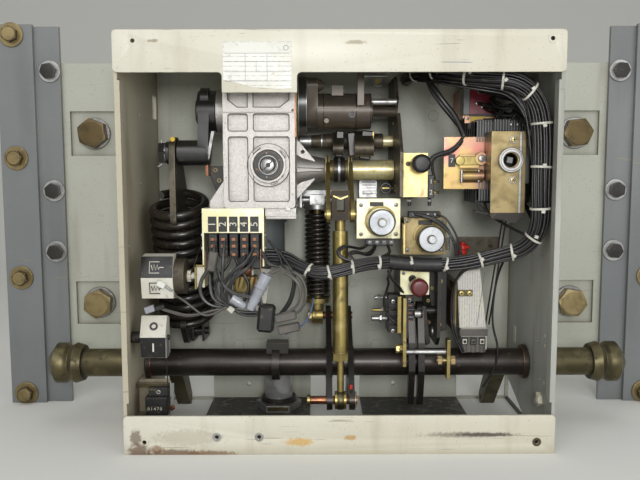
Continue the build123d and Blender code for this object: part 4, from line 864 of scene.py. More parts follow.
# bright rings on both rims of the black disc: painted highlights
for x in (-47.8, -38.2):
    cam.ring("brightZinc", (x, 97, 410), right, 31.6, 33.8, 0.9, 72)
cam.rod("hubSteel", (-13.5, 84, 389), (-13.5, 82.6, 389), 3.4, 20)
cam.lathe("sandCastAluminium", (-51, 128, 329), right,
    [(0, 0), (24, 0), (21, 6), (15.4, 34), (14.4, 36), (0, 36)], 48)
cam.sheet("sandCastAluminium", [(-51, 101.5, 332), (-17, 111.4, 330.6), (-17, 111.4, 327.4),
    (-51, 101.5, 326)], (0, 8, 0), 0.6)
cam.setDown()
closing = Tray("closingShaftRod")
closing.rod("shaftSteel", (-175.5, 105, 402), (-130, 105, 402), 15, 48)
closing.put("rod", "hubSteel", ((-56, 105, 402), (44, 105, 402), 15, 48),
    ((43, 105, 402), (74, 112, 402), 6.5, 32))
closing.setDown(replaced="closing_shaft")

# Follower, fork and push rod
follow = Tray("followerTrim", "follower")
follow.ring("blackSteel", (-3.6, 128, 329), right, 13.2, 16.4, 14.4, 48)
for x in (-14.8, 14.2):
    follow.put("ring", "brightBrass", ((x, 128, 329), right, 13.2, 19.6, 2.2, 48),
        ((x + 4.2, 128, 329), right, 13.2, 19.4, 1.4, 48))
follow.ring("brightZinc", (1.6, 128, 329), right, 16.2, 16.8, 3, 48)
follow.stud("brightBrass", (20.2, 128, 329), right, 13.1, (13.1, 53.2), 53.2, 48)
follow.setDown()
rodTrim = Tray("pushRodTrim", "rod_group")
forkTop, rodPin = Vector((3, 66, 275)), Vector((3, 56, 46))
rodRun = (forkTop - rodPin).normalized()
for side in (-1, 1):
    place = forkTop + Vector((side * 13.2, 0, 0))
    rodTrim.hexagon("copperTone", place - Vector((side * 1.2, 0, 0)), (side, 0, 0), 9, 4, 12)
    rodTrim.rod("oliveBrass", place + Vector((side * 3.6, 2, -5)), place + Vector((side * 4.4, -2, 7)),
        0.9, 8)
rodTrim.panel("yellowZinc", 53.6, [(-6, 299), (3, 295.4), (12, 299), (12, 296.6), (3, 293), (-6, 296.6)],
    2, 0.3)
rodTrim.ring("oliveBrass", rodPin + rodRun * 59, rodRun, 9.4, 10.3, 2.2, 40)
rodTrim.lathe("oliveSteel", rodPin + Vector((-7.4, 0, 0)), right,
    [(5.2, 0), (9.4, 0.6), (11.6, 4), (11.9, 7.4), (11.6, 10.8), (9.4, 14.2), (5.2, 14.8)], 40)
rodTrim.setDown()
pinTrim = Tray("pinTrim", "shaft_group")
pinTrim.put("rod", "brightZinc", ((21.8, 56, 36), (21.8, 56, 57), 1.1, 10),
    ((21.8, 56, 36), (25, 54, 33), 1, 10))
pinTrim.ring("yellowZinc", (20.6, 56, 46), right, 5.1, 8.6, 1.2)
pinTrim.ring("oliveBrass", (-38, 56, 46), right, 4, 6.8, 4, 28)
pinTrim.box("bootRed", (13.6, 47, 62), (17.5, 50, 67.5), 0.8)
for side in (-1, 1):
    pinTrim.ring("copperTone", (side * 239.6, 108, 80), (-side, 0, 0), 17.8, 21.4, 0.8, 48)
for start in (-13.9, 13.6):
    pinTrim.ring("blackSteel", (start - 1, 108, 80), right, 17.6, 20.6, 9.2, 48)
pinTrim.hexagon("yellowZinc", (-33, 160, 131), left, 13, 5, 5)
pinTrim.ring("brightZinc", (-30.6, 160, 131), left, 5.1, 9, 1.6)
for side in (-1, 1):
    pinTrim.rod("oliveSteel", (side * 250.5, 108, 80), (side * 330, 108, 80), 17.9, 48)
pinTrim.setDown()

# Closing and trip coils
coils = Tray("coilTrim")
for discX, discZ, high, screws in (
        (55, 264, 293, ((30.1, 284.8), (74.1, 284.8), (30.1, 248.1), (74.1, 248.1))),
        (116.5, 243, 269.5, ((88.4, 265), (132.6, 265), (88.8, 227.7), (132.4, 227.7)))):
    coils.put("lathe", "brushedDisc", ((discX, 78.2, discZ), front,
        [(4.8, 0), (15.4, 0), (15.4, 1), (15, 1.3), (5.6, 1.3), (5.6, 0.6), (4.8, 0.5), (4.8, 0)], 56),
        ((discX, 70.6, discZ), front, [(0, 0), (4.7, 0), (4.7, 0.8), (3.9, 1.4), (0, 1.5)], 32))
    coils.put("ring", "blackSteel", ((discX, 77.4, discZ), front, 4.9, 6.1, 0.2, 40),
        ((discX, 80, discZ), front, 15.6, 16.6, 4, 48))
    coils.ring("oliveBrass", (discX - 0.6, 94.9, discZ + 0.6), front, 17.2, 19.6, 0.9, 48)
    for x, z in screws:
        coils.screw("brightZinc", (x, 95, z), front, 2.5, 1.6, x)
    coils.box("blackPlastic", (discX - 14, 93.6, high - 9.5), (discX + 3, 95, high - 4.4), 0.4)
coils.put("box", "blackPlastic", ((34.6, 86, 234), (70, 97, 243), 0.8),
    ((88.5, 84, 269.6), (128.5, 97, 277), 0.8))
for x in (38, 47, 56, 65):
    coils.box("greyPlastic", (x, 85, 236), (x + 5, 86.4, 241), 0.4)
    coils.screw("brightZinc", (x + 2.5, 85, 238.5), front, 1.7, 0.9, x)
for x in (92, 101, 110, 119):
    coils.rod("brightZinc", (x + 2, 84.2, 273), (x + 2, 81, 274), 1.6, 12)
coils.box("yellowZinc", (81.4, 79, 224.5), (84.3, 97, 262), 0.4)
coils.setDown()
pull = [(139.5 + cos(step * pi / 6) * 2.1, 91 + sin(step * pi / 6) * 2.1,
    228 + step * 0.17) for step in range(97)]
wires("armatureSpring", [pull], 0.55, "brightZinc", kind="POLY", rounds=1)

# Close box: black strip with two plain numbers, studs
box = Tray("closeBoxTrim")
box.box("blackPlastic", (108.4, 60, 294.6), (115.6, 84, 322), 0.6)
for z, digit in ((314.5, "1"), (301.5, "2")):
    box.letters("whitePlastic", digit, (112, 59.9, z), 8)
    box.hexagon("oliveBrass", (115.6, 66, z), right, 6, 3.4, 20)
    box.rod("blackSteel", (119, 66, z), (123, 66, z), 1.6, 12)
for x in (87.5, 112):
    box.rod("blackSteel", (x, 70, 294), (x, 70, 285), 2.2, 14)
    box.hexagon("brightZinc", (x, 70, 292.6), down, 6, 2.4, 0)
box.screw("oliveSteel", (84.2, 59.9, 336), front, 2.8, 1.4, 40)
box.ring("brightZinc", (97, 60, 336), front, 4.6, 7, 0.8, 32)
box.setDown()

# Auxiliary switch group and relay
aux = Tray("auxTrim")
aux.put("box", "blackPlastic", ((137.1, 84.6, 332.2), (145.6, 85.1, 347.8), 0.1),
    ((226, 86, 296), (240, 150, 366), 1), ((171.6, 127.6, 397.6), (206, 131, 400.4), 0.3),
    ((170.4, 128.6, 380.8), (182, 129.6, 389), 0.1))
aux.put("letters", "whitePlastic", ("7", (141.3, 84.5, 340), 8), ("3", (176, 128.5, 384.8), 6.5))
aux.box("oliveBrass", (147.6, 78.6, 334.4), (172, 80.2, 345.2), 0.8)
aux.stud("oliveBrass", (150.5, 78.6, 339.8), front, 5.6, (5.2, 0.8), 1, 28)
aux.ring("pinkZinc", (176.5, 80, 342.4), front, 3, 8.2, 2, 36)
aux.lathe("brightZinc", (176.5, 78, 342.4), front, [(0, 0), (4.4, 0), (4.2, 2.2), (2.4, 2.8), (0, 2.9)], 24)
aux.box("blackSteel", (174.4, 75, 342), (178.6, 75.4, 342.8), 0.05, 35)
for x0, x1 in ((151.6, 154), (172.6, 175)):
    aux.box("brightZinc", (x0, 79, 313), (x1, 85, 329), 0.5)
aux.put("box", "pinkZinc", ((154, 80.5, 321), (173, 85, 328.6), 0.6),
    ((165.6, 129.6, 388.6), (173, 131.4, 398.6), 0.3))
for low, high, first, last, step in ((363, 389, 171.5, 191, 3.3), (290, 316.5, 175.2, 193, 3.4),
        (376, 390.5, 193, 233, 3.4), (330, 362, 184, 192, 3.4)):
    x = first
    while x < last - 1:
        aux.box("greyPlastic", (x, 83.5, low), (x + 1.5, 100, high), 0.3)
        x += step
    aux.box("blackPlastic", (first, 86, low + 1), (last, 98, high - 1), 0.4)
for x in (214, 222, 229):
    aux.screw("brightZinc", (x, 83.5, 384), front, 2, 1, x)
aux.put("box", "greyPlastic", ((224.6, 60, 312), (230.5, 82, 368), 1.2),
    ((200.6, 52, 336.4), (207.8, 72, 343.6), 0.6, 8), ((163.6, 128, 399.5), (171.6, 150, 434), 0.5))
aux.ring("brightZinc", (204, 46, 340), front, 9.4, 14.6, 2.2, 56)
aux.ring("blackSteel", (204, 44.6, 340), front, 12.2, 12.8, 1, 56)
for z in (364.3, 316.8):
    aux.put("ring", "brightZinc", ((207.4, 50, z), front, 2, 4.6, 1, 28),
        ((225.6, 64, z), right, 2, 4.4, 1.4, 24))
    aux.screw("yellowZinc", (207.4, 49, z), front, 3.4, 2, z)
aux.box("brightZinc", (214.6, 49.4, 276), (218.2, 51.8, 373.6), 0.8)
aux.box("copperTone", (219.2, 50.2, 280), (221.8, 52.4, 373.6), 0.8)
# the channel's bent-back lower lip, both sheets in dark steel: painted shade on its underside
aux.put("panel", "shaftSteel", (50.2, [(181.8, 275.6), (214.6, 274.4), (214.6, 268.6), (206, 266.4),
    (182.6, 270.6)], 8, 0.4), (49.3, [(181.3, 277.4), (222.7, 277.4), (222.7, 274), (212, 265.6),
    (206, 265.6), (181.3, 274)], 0.6, 0.1))
aux.panel("blackSteel", 62, [(165, 279.6), (188, 276.6), (188, 272), (166, 277.4)], 10, 0.3)
for x in (207.8, 212.4):
    aux.rod("blackSteel", (x, 92, 268), (x - 14, 112, 128), 1.1, 10)
for x, z in ((184.1, 428.7), (189.2, 409.4), (182, 414.1), (197, 428)):
    aux.screw("brightZinc", (x, 130, z), front, 2.7, 1.6, z)
aux.panel("yellowLabel", 129.8, [(173, 398.6), (194, 398.6), (184, 388.6), (173, 388.6)], 1.2, 0)
aux.screw("brightZinc", (169.4, 129.6, 395), front, 2.2, 1, 12)
aux.setDown()

# Stop plate, red boot and release unit
release = Tray("releaseTrim")
release.lathe("bootRed", (170, 148, 216), up, [(0, 0), (5.2, 0), (5.6, 4), (4.4, 6), (5.8, 8), (5.6, 12),
    (3.6, 14), (3, 16.5), (0, 17)], 28)
release.rod("bootRed", (170, 148, 226), (178, 144, 226), 2.2, 14)
release.panel("columnPaper", 89.7, [(152.4, 187.6), (161, 199.8), (180, 202.8), (188.6, 129.6),
    (156.2, 129.6)], -0.4, 0)
release.box("greyPlastic", (181.4, 88.9, 131), (182, 89.4, 200), 0.05, 7)
release.box("copperTone", (145.4, 92, 126), (149.4, 130, 176), 0.5)
release.box("oliveBrass", (149.4, 94, 128), (152.4, 130, 186), 0.5)
release.box("oliveSteel", (152.6, 88.2, 169.4), (171.2, 89.3, 177.6), 1.6)
for x in (156.6, 167):
    release.screw("yellowZinc", (x, 88.2, 173.5), front, 3.3, 2.2, x * 3)
release.put("box", "greyWire", ((154.5, 83.4, 119), (190, 97, 128.4), 0.8),
    ((156, 83.4, 98), (188, 99, 119), 0.8))
for x in (161, 172, 183):
    release.box("blackPlastic", (x - 4, 82.4, 108), (x + 4, 85, 117.6), 0.4)
    release.box("tieWhite" if x != 172 else "greyWire", (x - 2.8, 81.9, 109.4), (x + 2.8, 83.6, 116), 0.3)
    release.lathe("greyWire", (x, 86, 107), down, [(0, 0), (4.2, 0), (4.2, 8), (3.4, 9), (0, 9)], 24)
    release.screw("oliveSteel", (x, 82, 112.6), front, 2, 0.8, x)
release.setDown()

# Latch side: bracket, contact block, studs and roller
latch = Tray("latchTrim")
latch.box("paleZinc", (77, 69, 175), (113, 69.9, 206.5), 0.3)
latch.put("ring", "blackSteel", ((92, 68.9, 195), front, 2, 4.8, 0.5, 28),
    ((104, 80, 149.2), right, 2, 5.6, 2.4, 32))
latch.screw("brightZinc", (81, 69, 202), front, 2.2, 1.2, 10)
latch.rod("blackSteel", (92, 69.4, 195), (95, 62, 192), 3, 18)
latch.box("oliveBrass", (72.6, 57.6, 129), (77.6, 60.2, 175), 0.5)
for z in (170, 160, 150, 140, 131):
    latch.put("box", "blackPlastic", ((64, 82, z - 4), (76, 84.2, z + 3), 0.6),
        ((84.6, 80.6, z - 4), (96, 84, z + 3), 0.6))
    latch.box("copperTone", (87, 80, z - 1), (93.4, 80.8, z + 0.6), 0.2)
for z in (166.4, 128.6):
    latch.put("screw", "brightZinc", ((90, 80, z), front, 3, 1.8, z), ((70, 81.8, z - 2), front, 3, 1.8, z))
for x0, x1, z, radius, paint in ((48, 58, 166.6, 2.4, "brightZinc"), (44, 62, 150.4, 2, "oliveBrass"),
        (44, 60, 139.6, 3, "brightZinc")):
    latch.rod(paint, (x0, 98, z), (x1 + 6, 98, z), radius, 16)
    latch.hexagon("brightZinc", (x1 - 3, 98, z), left, radius * 3.2, 3, z)
latch.put("rod", "brightZinc", ((96.2, 80, 149.2), (104, 80, 149.2), 5.4, 32),
    ((84, 65, 104), (134, 65, 104), 3.4, 24))
latch.panel("shaftSteel", 84, [(107, 158), (112, 158), (117.6, 110), (112, 107), (109, 128)], 5, 0.6)
latch.panel("blackSteel", 96, [(112, 205), (140, 205), (140, 124), (128, 122), (119, 160)], 4, 0.8)
for x, z in ((116, 163), (117, 135), (121, 179), (131, 132), (132, 188), (127, 114)):
    latch.ring("oliveBrass", (x, 95.2, z), front, 0.8, 2.4, 1.2, 18)
latch.ring("brightZinc", (119, 84, 126), right, 2.4, 5.4, 1.6, 26)
latch.hexagon("yellowZinc", (76.2, 66, 108), left, 10, 4.4, 14)
for x in (123, 139.4):
    latch.hexagon("yellowZinc", (x, 62, 94), right, 10.4, 5.4, 6)
for z in (118, 92):
    latch.ring("copperTone", (82, 57.4, z), front, 0.5, 1.4, 0.5, 14)
latch.setDown()
claws = Tray("pointedClaws")
clawLook = {"front": (90.6, 102.2), "thick": 5.2, "outline": [(108, 150), (104, 160), (92, 161),
    (84.5, 152), (73.5, 114), (70, 78), (75, 58), (84, 30.5), (89.6, 31), (84, 60), (84, 78),
    (87.5, 110), (101, 139)]}
for start in clawLook["front"]:
    claws.sheet("blackSteel", [(start, y, z) for y, z in clawLook["outline"]],
        (clawLook["thick"], 0, 0), 0.9)
    claws.rod("brightZinc", (start - 0.6, 96, 150), (start + clawLook["thick"] + 0.6, 96, 150), 6.6, 24)
claws.setDown(replaced="latch_claws")
print("right side trimmed")

# Limit switches: plain numbers, contact tabs, resistor board behind
switches = Tray("switchTrim")
bankLeft = -159
turnUp = Matrix.Rotation(-pi / 2, 4, "Y")
for index in range(5):
    x = bankLeft + 5 + index * 12.4
    switches.box("blackPlastic", (x + 0.2, 37.4, 256.4), (x + 10.2, 38.1, 274.4), 0.9)
    switches.letters("whitePlastic", str(index + 1), (x + 5.2, 37.3, 265.4), 12, turnUp)
    switches.box("blackPlastic", (x, 38.6, 226), (x + 10.6, 64, 254), 0.8)
    for z in (247.5, 239.5, 229.5):
        switches.box("copperTone", (x + 3, 36.4, z - 1.8), (x + 7.6, 39, z + 1.8), 0.3)
        switches.box("blackPlastic", (x + 0.8, 37.2, z - 4.4), (x + 9.8, 38.8, z - 2.6), 0.3)
for x, z in ((-160.6, 252), (-160.6, 236), (-88.4, 252), (-88.4, 237)):
    switches.hexagon("brightZinc", (x, 46, z), (-1 if x < -120 else 1, 0, 0), 5, 2.6, 10)
for x, low, high in ((-158.4, 198, 234), (-92.8, 200, 236)):
    switches.box("copperTone", (x, 37, low), (x + 1.2, 38.4, high), 0.2)
switches.box("labelPaper", (-133, 70, 196), (-104, 72, 206), 0.4)
switches.box("oliveBrass", (-126, 60, 180), (-98, 76, 200), 1.2)
switches.lathe("copperTone", (-122, 64, 207), right, [(0, 0), (6, 0), (7, 1.4), (7, 15), (6, 16.4),
    (0, 16.4)], 28)
switches.lathe("oliveBrass", (-128, 66, 186), right, [(0, 0), (5, 0), (5.6, 1.2), (5.6, 13),
    (5, 14), (0, 14)], 24)
for x, tone in ((-124, "copperTone"), (-118, "oliveBrass"), (-112, "copperTone"), (-106, "copperTone")):
    switches.rod(tone, (x, 62, 178), (x + 5, 60, 199), 1.4, 10)
switches.box("motorEnamel", (-126, 74, 208), (-96, 96, 222), 0.8)
switches.box("whitePlastic", (-100, 90, 150), (-88, 92, 205), 0.4, 8)
switches.setDown()

# Indicators and counter
signs = Tray("springSign")
signs.sheet("blackPlastic", [(-231.2, 23.2, 204), (-194.2, 23.2, 204), (-194.2, 29.2, 228.2),
    (-231.2, 29.2, 228.2)], (0, 0.8, 0.2), 0.1)
signs.sheet("whitePlastic", [(-231.2, 23.2, 203.8), (-194.2, 23.2, 203.8), (-194.2, 27.2, 179),
    (-231.2, 27.2, 179)], (0, 0.8, 0), 0.1)
signs.lathe("agedSteel", (-194.2, 46, 203), right, [(0, 0), (21.5, 0), (21.5, 12.2), (19.6, 13.4),
    (0, 13.6)], 56)
signs.hexagon("yellowZinc", (-181, 46, 203), right, 12, 5, 10)
signs.stud("brightZinc", (-176, 46, 203), right, 4, (4, 6), 6, 20)
signs.put("box", "oliveBrass", ((-171, 38, 188), (-168.4, 44, 217), 0.3),
    ((-171, 38, 214.6), (-158, 44, 217), 0.3))
signs.setDown()


def springSign(middle, tilt, paint, name):  # a bracket with a zigzag spring in it
    x, y, z = middle
    def place(across, up):
        return (x + across, y - 0.5 + up * tilt, z + up)
    zigzag = [(-6, 2.6), (-4.4, -3.2), (-2.6, 3.2), (-0.8, -3.2), (1, 3.2), (2.6, -2.6), (3.6, 0), (8.5, 0)]
    bracket = [(3.5, 6.4), (-8, 6.4), (-8, -6.4), (3.5, -6.4)]
    wires(name, [[place(*point) for point in zigzag], [place(*point) for point in bracket]], 0.62, paint,
        kind="POLY", rounds=1)


springSign((-213, 25.7, 216), 0.25, "whitePlastic", "chargedSign")
springSign((-213, 24.6, 191.5), -0.16, "blackPlastic", "restingSign")
flag = Tray("flagSign", "flag")
flag.sheet("whitePlastic", [(-234.2, 23, 133), (-204.2, 23, 133), (-204.2, 34.8, 156.8),
    (-234.2, 34.8, 156.8)], (0, 0.8, 0.3), 0.1)
flag.sheet("blackPlastic", [(-234.2, 23, 132.8), (-204.2, 23, 132.8), (-204.2, 29, 107.4),
    (-234.2, 29, 107.4)], (0, 0.8, 0), 0.1)
flag.ring("blackPlastic", (-218.6, 28.6, 145.4), (0, -1, 0.5), 2.6, 4.9, 0.7, 40)
flag.box("whitePlastic", (-220, 24.6, 115.5), (-218, 25.6, 126), 0.2)
flag.box("greyPlastic", (-204.4, 24, 108), (-203, 40, 132), 0.2)
flag.setDown()
damperTrim = Tray("damperTrim")
damperTrim.lathe("turnedSteel", (-79, 160, 13), up, [(0, 0), (19.1, 0), (19.2, 1), (19.2, 39.6),
    (18.4, 40.4), (16.3, 40.4), (16.3, 46), (0, 46.3)], 64)
damperTrim.ring("blackSteel", (-79, 160, 13), up, 19, 24, 6, 48)
damperTrim.box("oliveSteel", (-93, 131.6, 5), (-65, 133.4, 11), 0.3)
damperTrim.setDown()
count = Tray("counterTrim")
count.put("box", "blackPlastic", ((-232.4, 33.4, 34), (-205.6, 46, 57.4), 1.4),
    ((-229, 38, 57.4), (-205.6, 46, 68), 0.8))
count.ring("brightZinc", (-217, 38, 62.6), front, 1.2, 2.6, 0.8, 24)
for index, digit in enumerate("01470"):
    count.box("blackSteel", (-230 + index * 3.7, 33, 40), (-226.8 + index * 3.7, 33.5, 46.4), 0.1)
    count.letters("whitePlastic", digit, (-228.3 + index * 3.7, 32.9, 43.2), 5.4)
count.panel("oliveSteel", 44, [(-246, 72), (-207.6, 72), (-207.6, 66.4), (-246, 66.4)], 1.6, 0.1)
count.panel("greyPlastic", 40, [(-202, 73), (-198.6, 73), (-199.4, 42), (-202.6, 42)], 2, 0.2)
count.hexagon("copperTone", (-201, 40, 43), front, 6, 3, 10)
count.setDown()
for name, route in (("signWire", [(-176, 40, 205), (-172, 60, 222), (-164, 44, 240), (-160, 42, 247)]),
        ("counterWire", [(-207, 36, 106), (-206, 38, 90), (-206, 40, 70)])):
    wires(name, [route], 0.7, "blackSteel", rounds=1)
print("left side trimmed")

# Loose wiring
loose = Random(9)


def strands(name, routes, radius, spread=0.0, copies=1, paint="cableBlack"):
    lines = []
    for route in routes:
        for copy in range(copies):
            drift = Vector((loose.uniform(-1, 1), loose.uniform(-0.6, 0.6), loose.uniform(-1, 1))) * spread
            lines.append([Vector(place) + drift * (0.3 if number in (0, len(route) - 1) else 1)
                          for number, place in enumerate(route)])
    wires(name, lines, radius, paint, rounds=1, steps=5)


strands("topWires", [[(74, 150, 458), (90, 90, 454), (118, 52, 447), (165, 36, 441), (205, 32, 436),
    (228, 34, 410), (233, 34, 380)], [(90, 170, 462), (100, 110, 462), (130, 64, 455), (180, 44, 447),
    (214, 40, 432), (230, 38, 396), (232, 36, 352)], [(140, 70, 452), (168, 46, 444), (196, 38, 436),
    (216, 36, 420), (224, 36, 396), (228, 36, 360)], [(148, 64, 440), (176, 48, 432), (200, 42, 424),
    (218, 40, 404), (226, 40, 372), (228, 38, 330)], [(102, 100, 440), (120, 62, 437), (150, 46, 429),
    (176, 40, 424), (202, 40, 420), (222, 40, 398), (229, 38, 360)]], 1.6, 5, 8)
strands("relayWires", [[(184, 129, 428), (188, 110, 426), (200, 96, 420), (214, 80, 414), (226, 50, 400)],
    [(189, 129, 409), (196, 112, 404), (206, 92, 406), (218, 72, 402), (228, 46, 386)],
    [(182, 129, 414), (192, 116, 412), (208, 100, 398), (222, 74, 392), (230, 46, 376)],
    [(197, 129, 428), (206, 104, 432), (216, 88, 428), (224, 64, 416), (228, 40, 404)]], 1.4, 2, 3)
strands("relayTangle", [[(192, 112, 436), (204, 92, 438), (222, 78, 430), (226, 74, 412), (210, 78, 402),
    (196, 90, 406), (192, 104, 418)], [(196, 116, 420), (208, 96, 426), (224, 82, 420), (228, 76, 404),
    (216, 82, 394), (202, 92, 396)], [(186, 118, 432), (200, 100, 430), (214, 84, 420), (222, 78, 402),
    (214, 84, 390)], [(206, 110, 438), (222, 92, 440), (234, 80, 424), (234, 74, 402), (222, 80, 390)]],
    1.5, 2.6, 4)
strands("stackWires", [[(200, 96, 388), (202, 90, 400), (208, 78, 408), (220, 66, 402), (229, 48, 384)],
    [(210, 96, 388), (212, 88, 398), (218, 74, 400), (226, 60, 386), (231, 44, 366)],
    [(222, 96, 386), (226, 84, 396), (232, 70, 390), (236, 54, 370), (236, 40, 350)],
    [(186, 98, 292), (184, 96, 284), (188, 90, 276), (204, 76, 262), (226, 44, 250)],
    [(226, 100, 300), (236, 92, 286), (238, 70, 272), (236, 46, 258), (232, 34, 246)],
    [(176, 98, 300), (174, 98, 288), (180, 94, 278), (190, 90, 272)]], 1.5, 2.4, 3)
strands("closeBoxWires", [[(156, 86, 371), (150, 84, 360), (138, 82, 351), (124, 76, 348), (112, 74, 342),
    (113, 72, 330)], [(158, 88, 368), (148, 84, 355), (134, 84, 347), (122, 82, 347), (114, 78, 336),
    (118, 70, 318)]], 1.9, 1.4, 3)
strands("sleeveWires", [[(108, 94, 446), (116, 86, 428), (128, 82, 410), (144, 83, 392), (158, 86, 372)]],
    1.9, 3.8, 7)
strands("coilWires", [[(38, 88, 236), (30, 78, 232), (20, 62, 236), (8, 46, 240), (-2, 40, 234),
    (4, 38, 224), (26, 38, 220)], [(48, 88, 236), (44, 76, 228), (34, 60, 226), (20, 48, 232),
    (10, 42, 228), (22, 40, 218)], [(62, 88, 236), (66, 78, 230), (60, 62, 226), (50, 50, 224),
    (44, 46, 220)]], 1.5, 1.6, 3)
strands("tripWires", [[(94, 82, 274), (104, 78, 274), (120, 76, 268), (136, 76, 256), (144, 74, 242),
    (146, 60, 226)], [(103, 82, 274), (116, 78, 272), (132, 78, 262), (141, 78, 248), (145, 66, 232),
    (144, 56, 220)], [(122, 82, 274), (132, 78, 272), (142, 76, 258), (148, 70, 244), (150, 58, 226)]],
    1.3, 1, 2)
strands("latchWires", [[(64, 50, 210), (58, 52, 200), (62, 66, 192), (60, 74, 180), (56, 78, 168),
    (60, 80, 152), (68, 78, 140), (82, 76, 134)], [(60, 50, 208), (64, 54, 198), (74, 62, 188),
    (80, 70, 178), (88, 78, 170)]], 1.3, 1.2, 2)
strands("releaseWires", [[(186, 46, 224), (170, 56, 214), (154, 70, 204), (146, 80, 190), (143, 84, 168),
    (143, 84, 140), (147, 84, 118), (158, 82, 98)], [(190, 46, 224), (172, 54, 216), (156, 68, 208),
    (148, 78, 194), (145, 82, 170), (145, 82, 144), (149, 82, 120), (160, 82, 100)],
    [(204, 46, 232), (198, 66, 210), (196, 80, 180), (195, 86, 150), (198, 92, 126), (206, 90, 100),
    (200, 92, 70), (188, 96, 50)]], 1.4, 0.8, 2)
strands("switchWires", [[(-146, 36, 240), (-148, 30, 226), (-152, 30, 214), (-164, 28, 196),
    (-162, 28, 178), (-150, 28, 168), (-132, 30, 166), (-124, 30, 170)],
    [(-134, 34, 246), (-135, 26, 226), (-136, 26, 200), (-138, 27, 186), (-132, 28, 174)],
    [(-100, 36, 238), (-106, 28, 222), (-120, 26, 214), (-134, 26, 198), (-138, 27, 180), (-130, 28, 168),
    (-112, 30, 160), (-92, 32, 162)], [(-98, 36, 228), (-104, 28, 216), (-118, 26, 208), (-130, 26, 192),
    (-134, 27, 176), (-124, 29, 164), (-108, 30, 156), (-90, 32, 158)],
    [(-110, 36, 230), (-114, 30, 216), (-126, 27, 202), (-130, 27, 184), (-122, 29, 168)],
    [(-152, 34, 206), (-152, 30, 190), (-146, 28, 174), (-134, 29, 170)],
    [(-84, 48, 246), (-76, 46, 240), (-68, 42, 226), (-66, 38, 216), (-60, 36, 212)]], 1.35, 1.4, 3)
strands("leftLoops", [[(-62, 36, 212), (-50, 30, 208), (-40, 30, 196), (-38, 30, 180), (-44, 30, 164),
    (-54, 31, 158), (-66, 32, 154)], [(-64, 34, 208), (-52, 29, 204), (-44, 29, 190), (-46, 29, 174),
    (-54, 30, 164), (-66, 32, 160)], [(-80, 34, 210), (-90, 30, 202), (-94, 30, 190), (-92, 31, 172),
    (-88, 32, 160)], [(-70, 34, 212), (-84, 29, 206), (-96, 28, 196), (-104, 29, 184), (-106, 30, 174)],
    [(-194, 32, 182), (-184, 26, 178), (-172, 25, 168), (-160, 26, 158), (-148, 27, 160), (-134, 28, 168),
    (-124, 30, 172)], [(-214, 36, 166), (-196, 28, 162), (-178, 26, 158), (-162, 27, 160), (-150, 28, 164),
    (-136, 29, 166)]], 1.35, 1, 2, paint="greyWire")
strands("darkLoops", [[(-142, 30, 214), (-140, 26, 200), (-128, 25, 186), (-110, 25, 182), (-96, 26, 178),
    (-90, 30, 164)], [(-122, 34, 226), (-114, 28, 210), (-104, 26, 196), (-108, 26, 178), (-122, 28, 166),
    (-136, 30, 170)], [(-70, 40, 232), (-60, 34, 220), (-52, 32, 206), (-54, 32, 186), (-60, 33, 168),
    (-70, 34, 158)], [(-92, 40, 236), (-86, 34, 226), (-80, 32, 218), (-70, 34, 216)],
    [(-126, 44, 240), (-128, 36, 222), (-140, 32, 208), (-148, 32, 192), (-142, 31, 176), (-128, 31, 168)]],
    1.4, 1.8, 3)
strands("blueWires", [[(-30, 44, 176), (-32, 36, 160), (-40, 34, 148), (-52, 34, 138), (-64, 36, 134)]],
    1.1, 0.6, 1, paint="blueWire")

connectors = Tray("connectors")
connectors.put("lathe", "frostedSleeve", ((-84, 22, 208), (-24, 2, -50),
    [(3, 0), (7, 0), (7.4, 1), (6.8, 4), (7.2, 5), (6.8, 9), (7.2, 10), (6.8, 15), (7.6, 16), (7.6, 18),
    (6.4, 19), (6.6, 25), (6, 26), (6.2, 32), (4.8, 46), (4.2, 46), (3.6, 10), (3, 0)], 32),
    ((-126, 26, 180), (26, 2, -18), [(3, 0), (5.4, 0), (6, 2), (5.6, 8), (6, 9), (4.2, 19), (3, 19)], 28))
connectors.put("box", "blackPlastic", ((-96, 24, 138), (-76, 44, 170), 3.2, 6),
    ((-218, 31, 164), (-206, 37, 170), 1.2, -14))
for z, x in ((156, -62), (142, -58)):
    connectors.box("greyWire", (x - 14, 26, z - 5), (x + 12, 36, z + 5), 1.6, -12)
connectors.box("greyWire", (-154, 28, 210), (-143, 36, 234), 1.6, 10)
connectors.box("labelPaper", (-212, 19, 193), (-202, 23, 200), 0.8, 30)
connectors.rod("brightZinc", (-203, 22, 195), (-195, 25, 188), 1.6, 12)
connectors.box("frostedSleeve", (-230, 30, 161), (-218, 38, 169), 1.2, -18)
connectors.box("tieWhite", (-131, 26, 162), (-123, 33, 169), 0.8, 40)
connectors.setDown()
print("loose wiring laid")

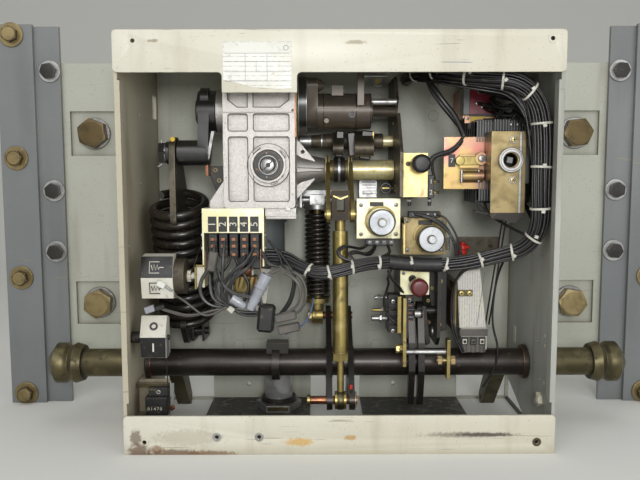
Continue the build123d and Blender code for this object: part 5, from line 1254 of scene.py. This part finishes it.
# Floor and backdrop
stageLook = {"colour": (236, 236, 232), "second": (228, 228, 224), "front": -3.0, "back": 2.2, "half": 4.0,
             "height": 3.2, "sweep": 0.9}
sweep = bmesh.new()
corners = [sweep.verts.new((-stageLook["half"], y, z)) for y, z in
           ((stageLook["front"], 0), (stageLook["back"], 0), (stageLook["back"], stageLook["height"]))]
for pair in zip(corners, corners[1:]):
    sweep.edges.new(pair)
bmesh.ops.bevel(sweep, geom=[corners[1]], offset=stageLook["sweep"], affect="VERTICES", segments=12,
                profile=0.5, material=-1)
grown = bmesh.ops.extrude_edge_only(sweep, edges=sweep.edges)
bmesh.ops.translate(sweep, vec=(stageLook["half"] * 2, 0, 0), verts=vertsOf(grown))
bmesh.ops.recalc_face_normals(sweep, faces=sweep.faces)
backdropPaint = Paint("paleBackdrop", stageLook["colour"], 0.9)
backdropPaint.lay(backdropPaint.noise(0.8, 2) * 0.3, stageLook["second"])
floorData = bpy.data.meshes.new("backdrop")
sweep.to_mesh(floorData)
sweep.free()
floorData.materials.append(backdropPaint.done(0))
for face in floorData.polygons:
    face.use_smooth = True
backdrop = bpy.data.objects.new("backdrop", floorData)
scene.collection.objects.link(backdrop)

# A dim room that the camera and reflections see brighter
airLook = {"colour": (238, 238, 236), "dim": 0.35, "bright": 0.9}
world = bpy.data.worlds.new("studio")
world.use_nodes = True
scene.world = world
nodes, links = world.node_tree.nodes, world.node_tree.links
path = nodes.new("ShaderNodeLightPath")
seen = nodes.new("ShaderNodeMath")
seen.operation = "MAXIMUM"
links.new(path.outputs["Is Camera Ray"], seen.inputs[0])
links.new(path.outputs["Is Glossy Ray"], seen.inputs[1])
level = nodes.new("ShaderNodeMapRange")
level.inputs["To Min"].default_value = airLook["dim"]
level.inputs["To Max"].default_value = airLook["bright"]
links.new(seen.outputs[0], level.inputs["Value"])
links.new(level.outputs["Result"], nodes["Background"].inputs["Strength"])
nodes["Background"].inputs["Color"].default_value = shade(*airLook["colour"])
print("stage set")
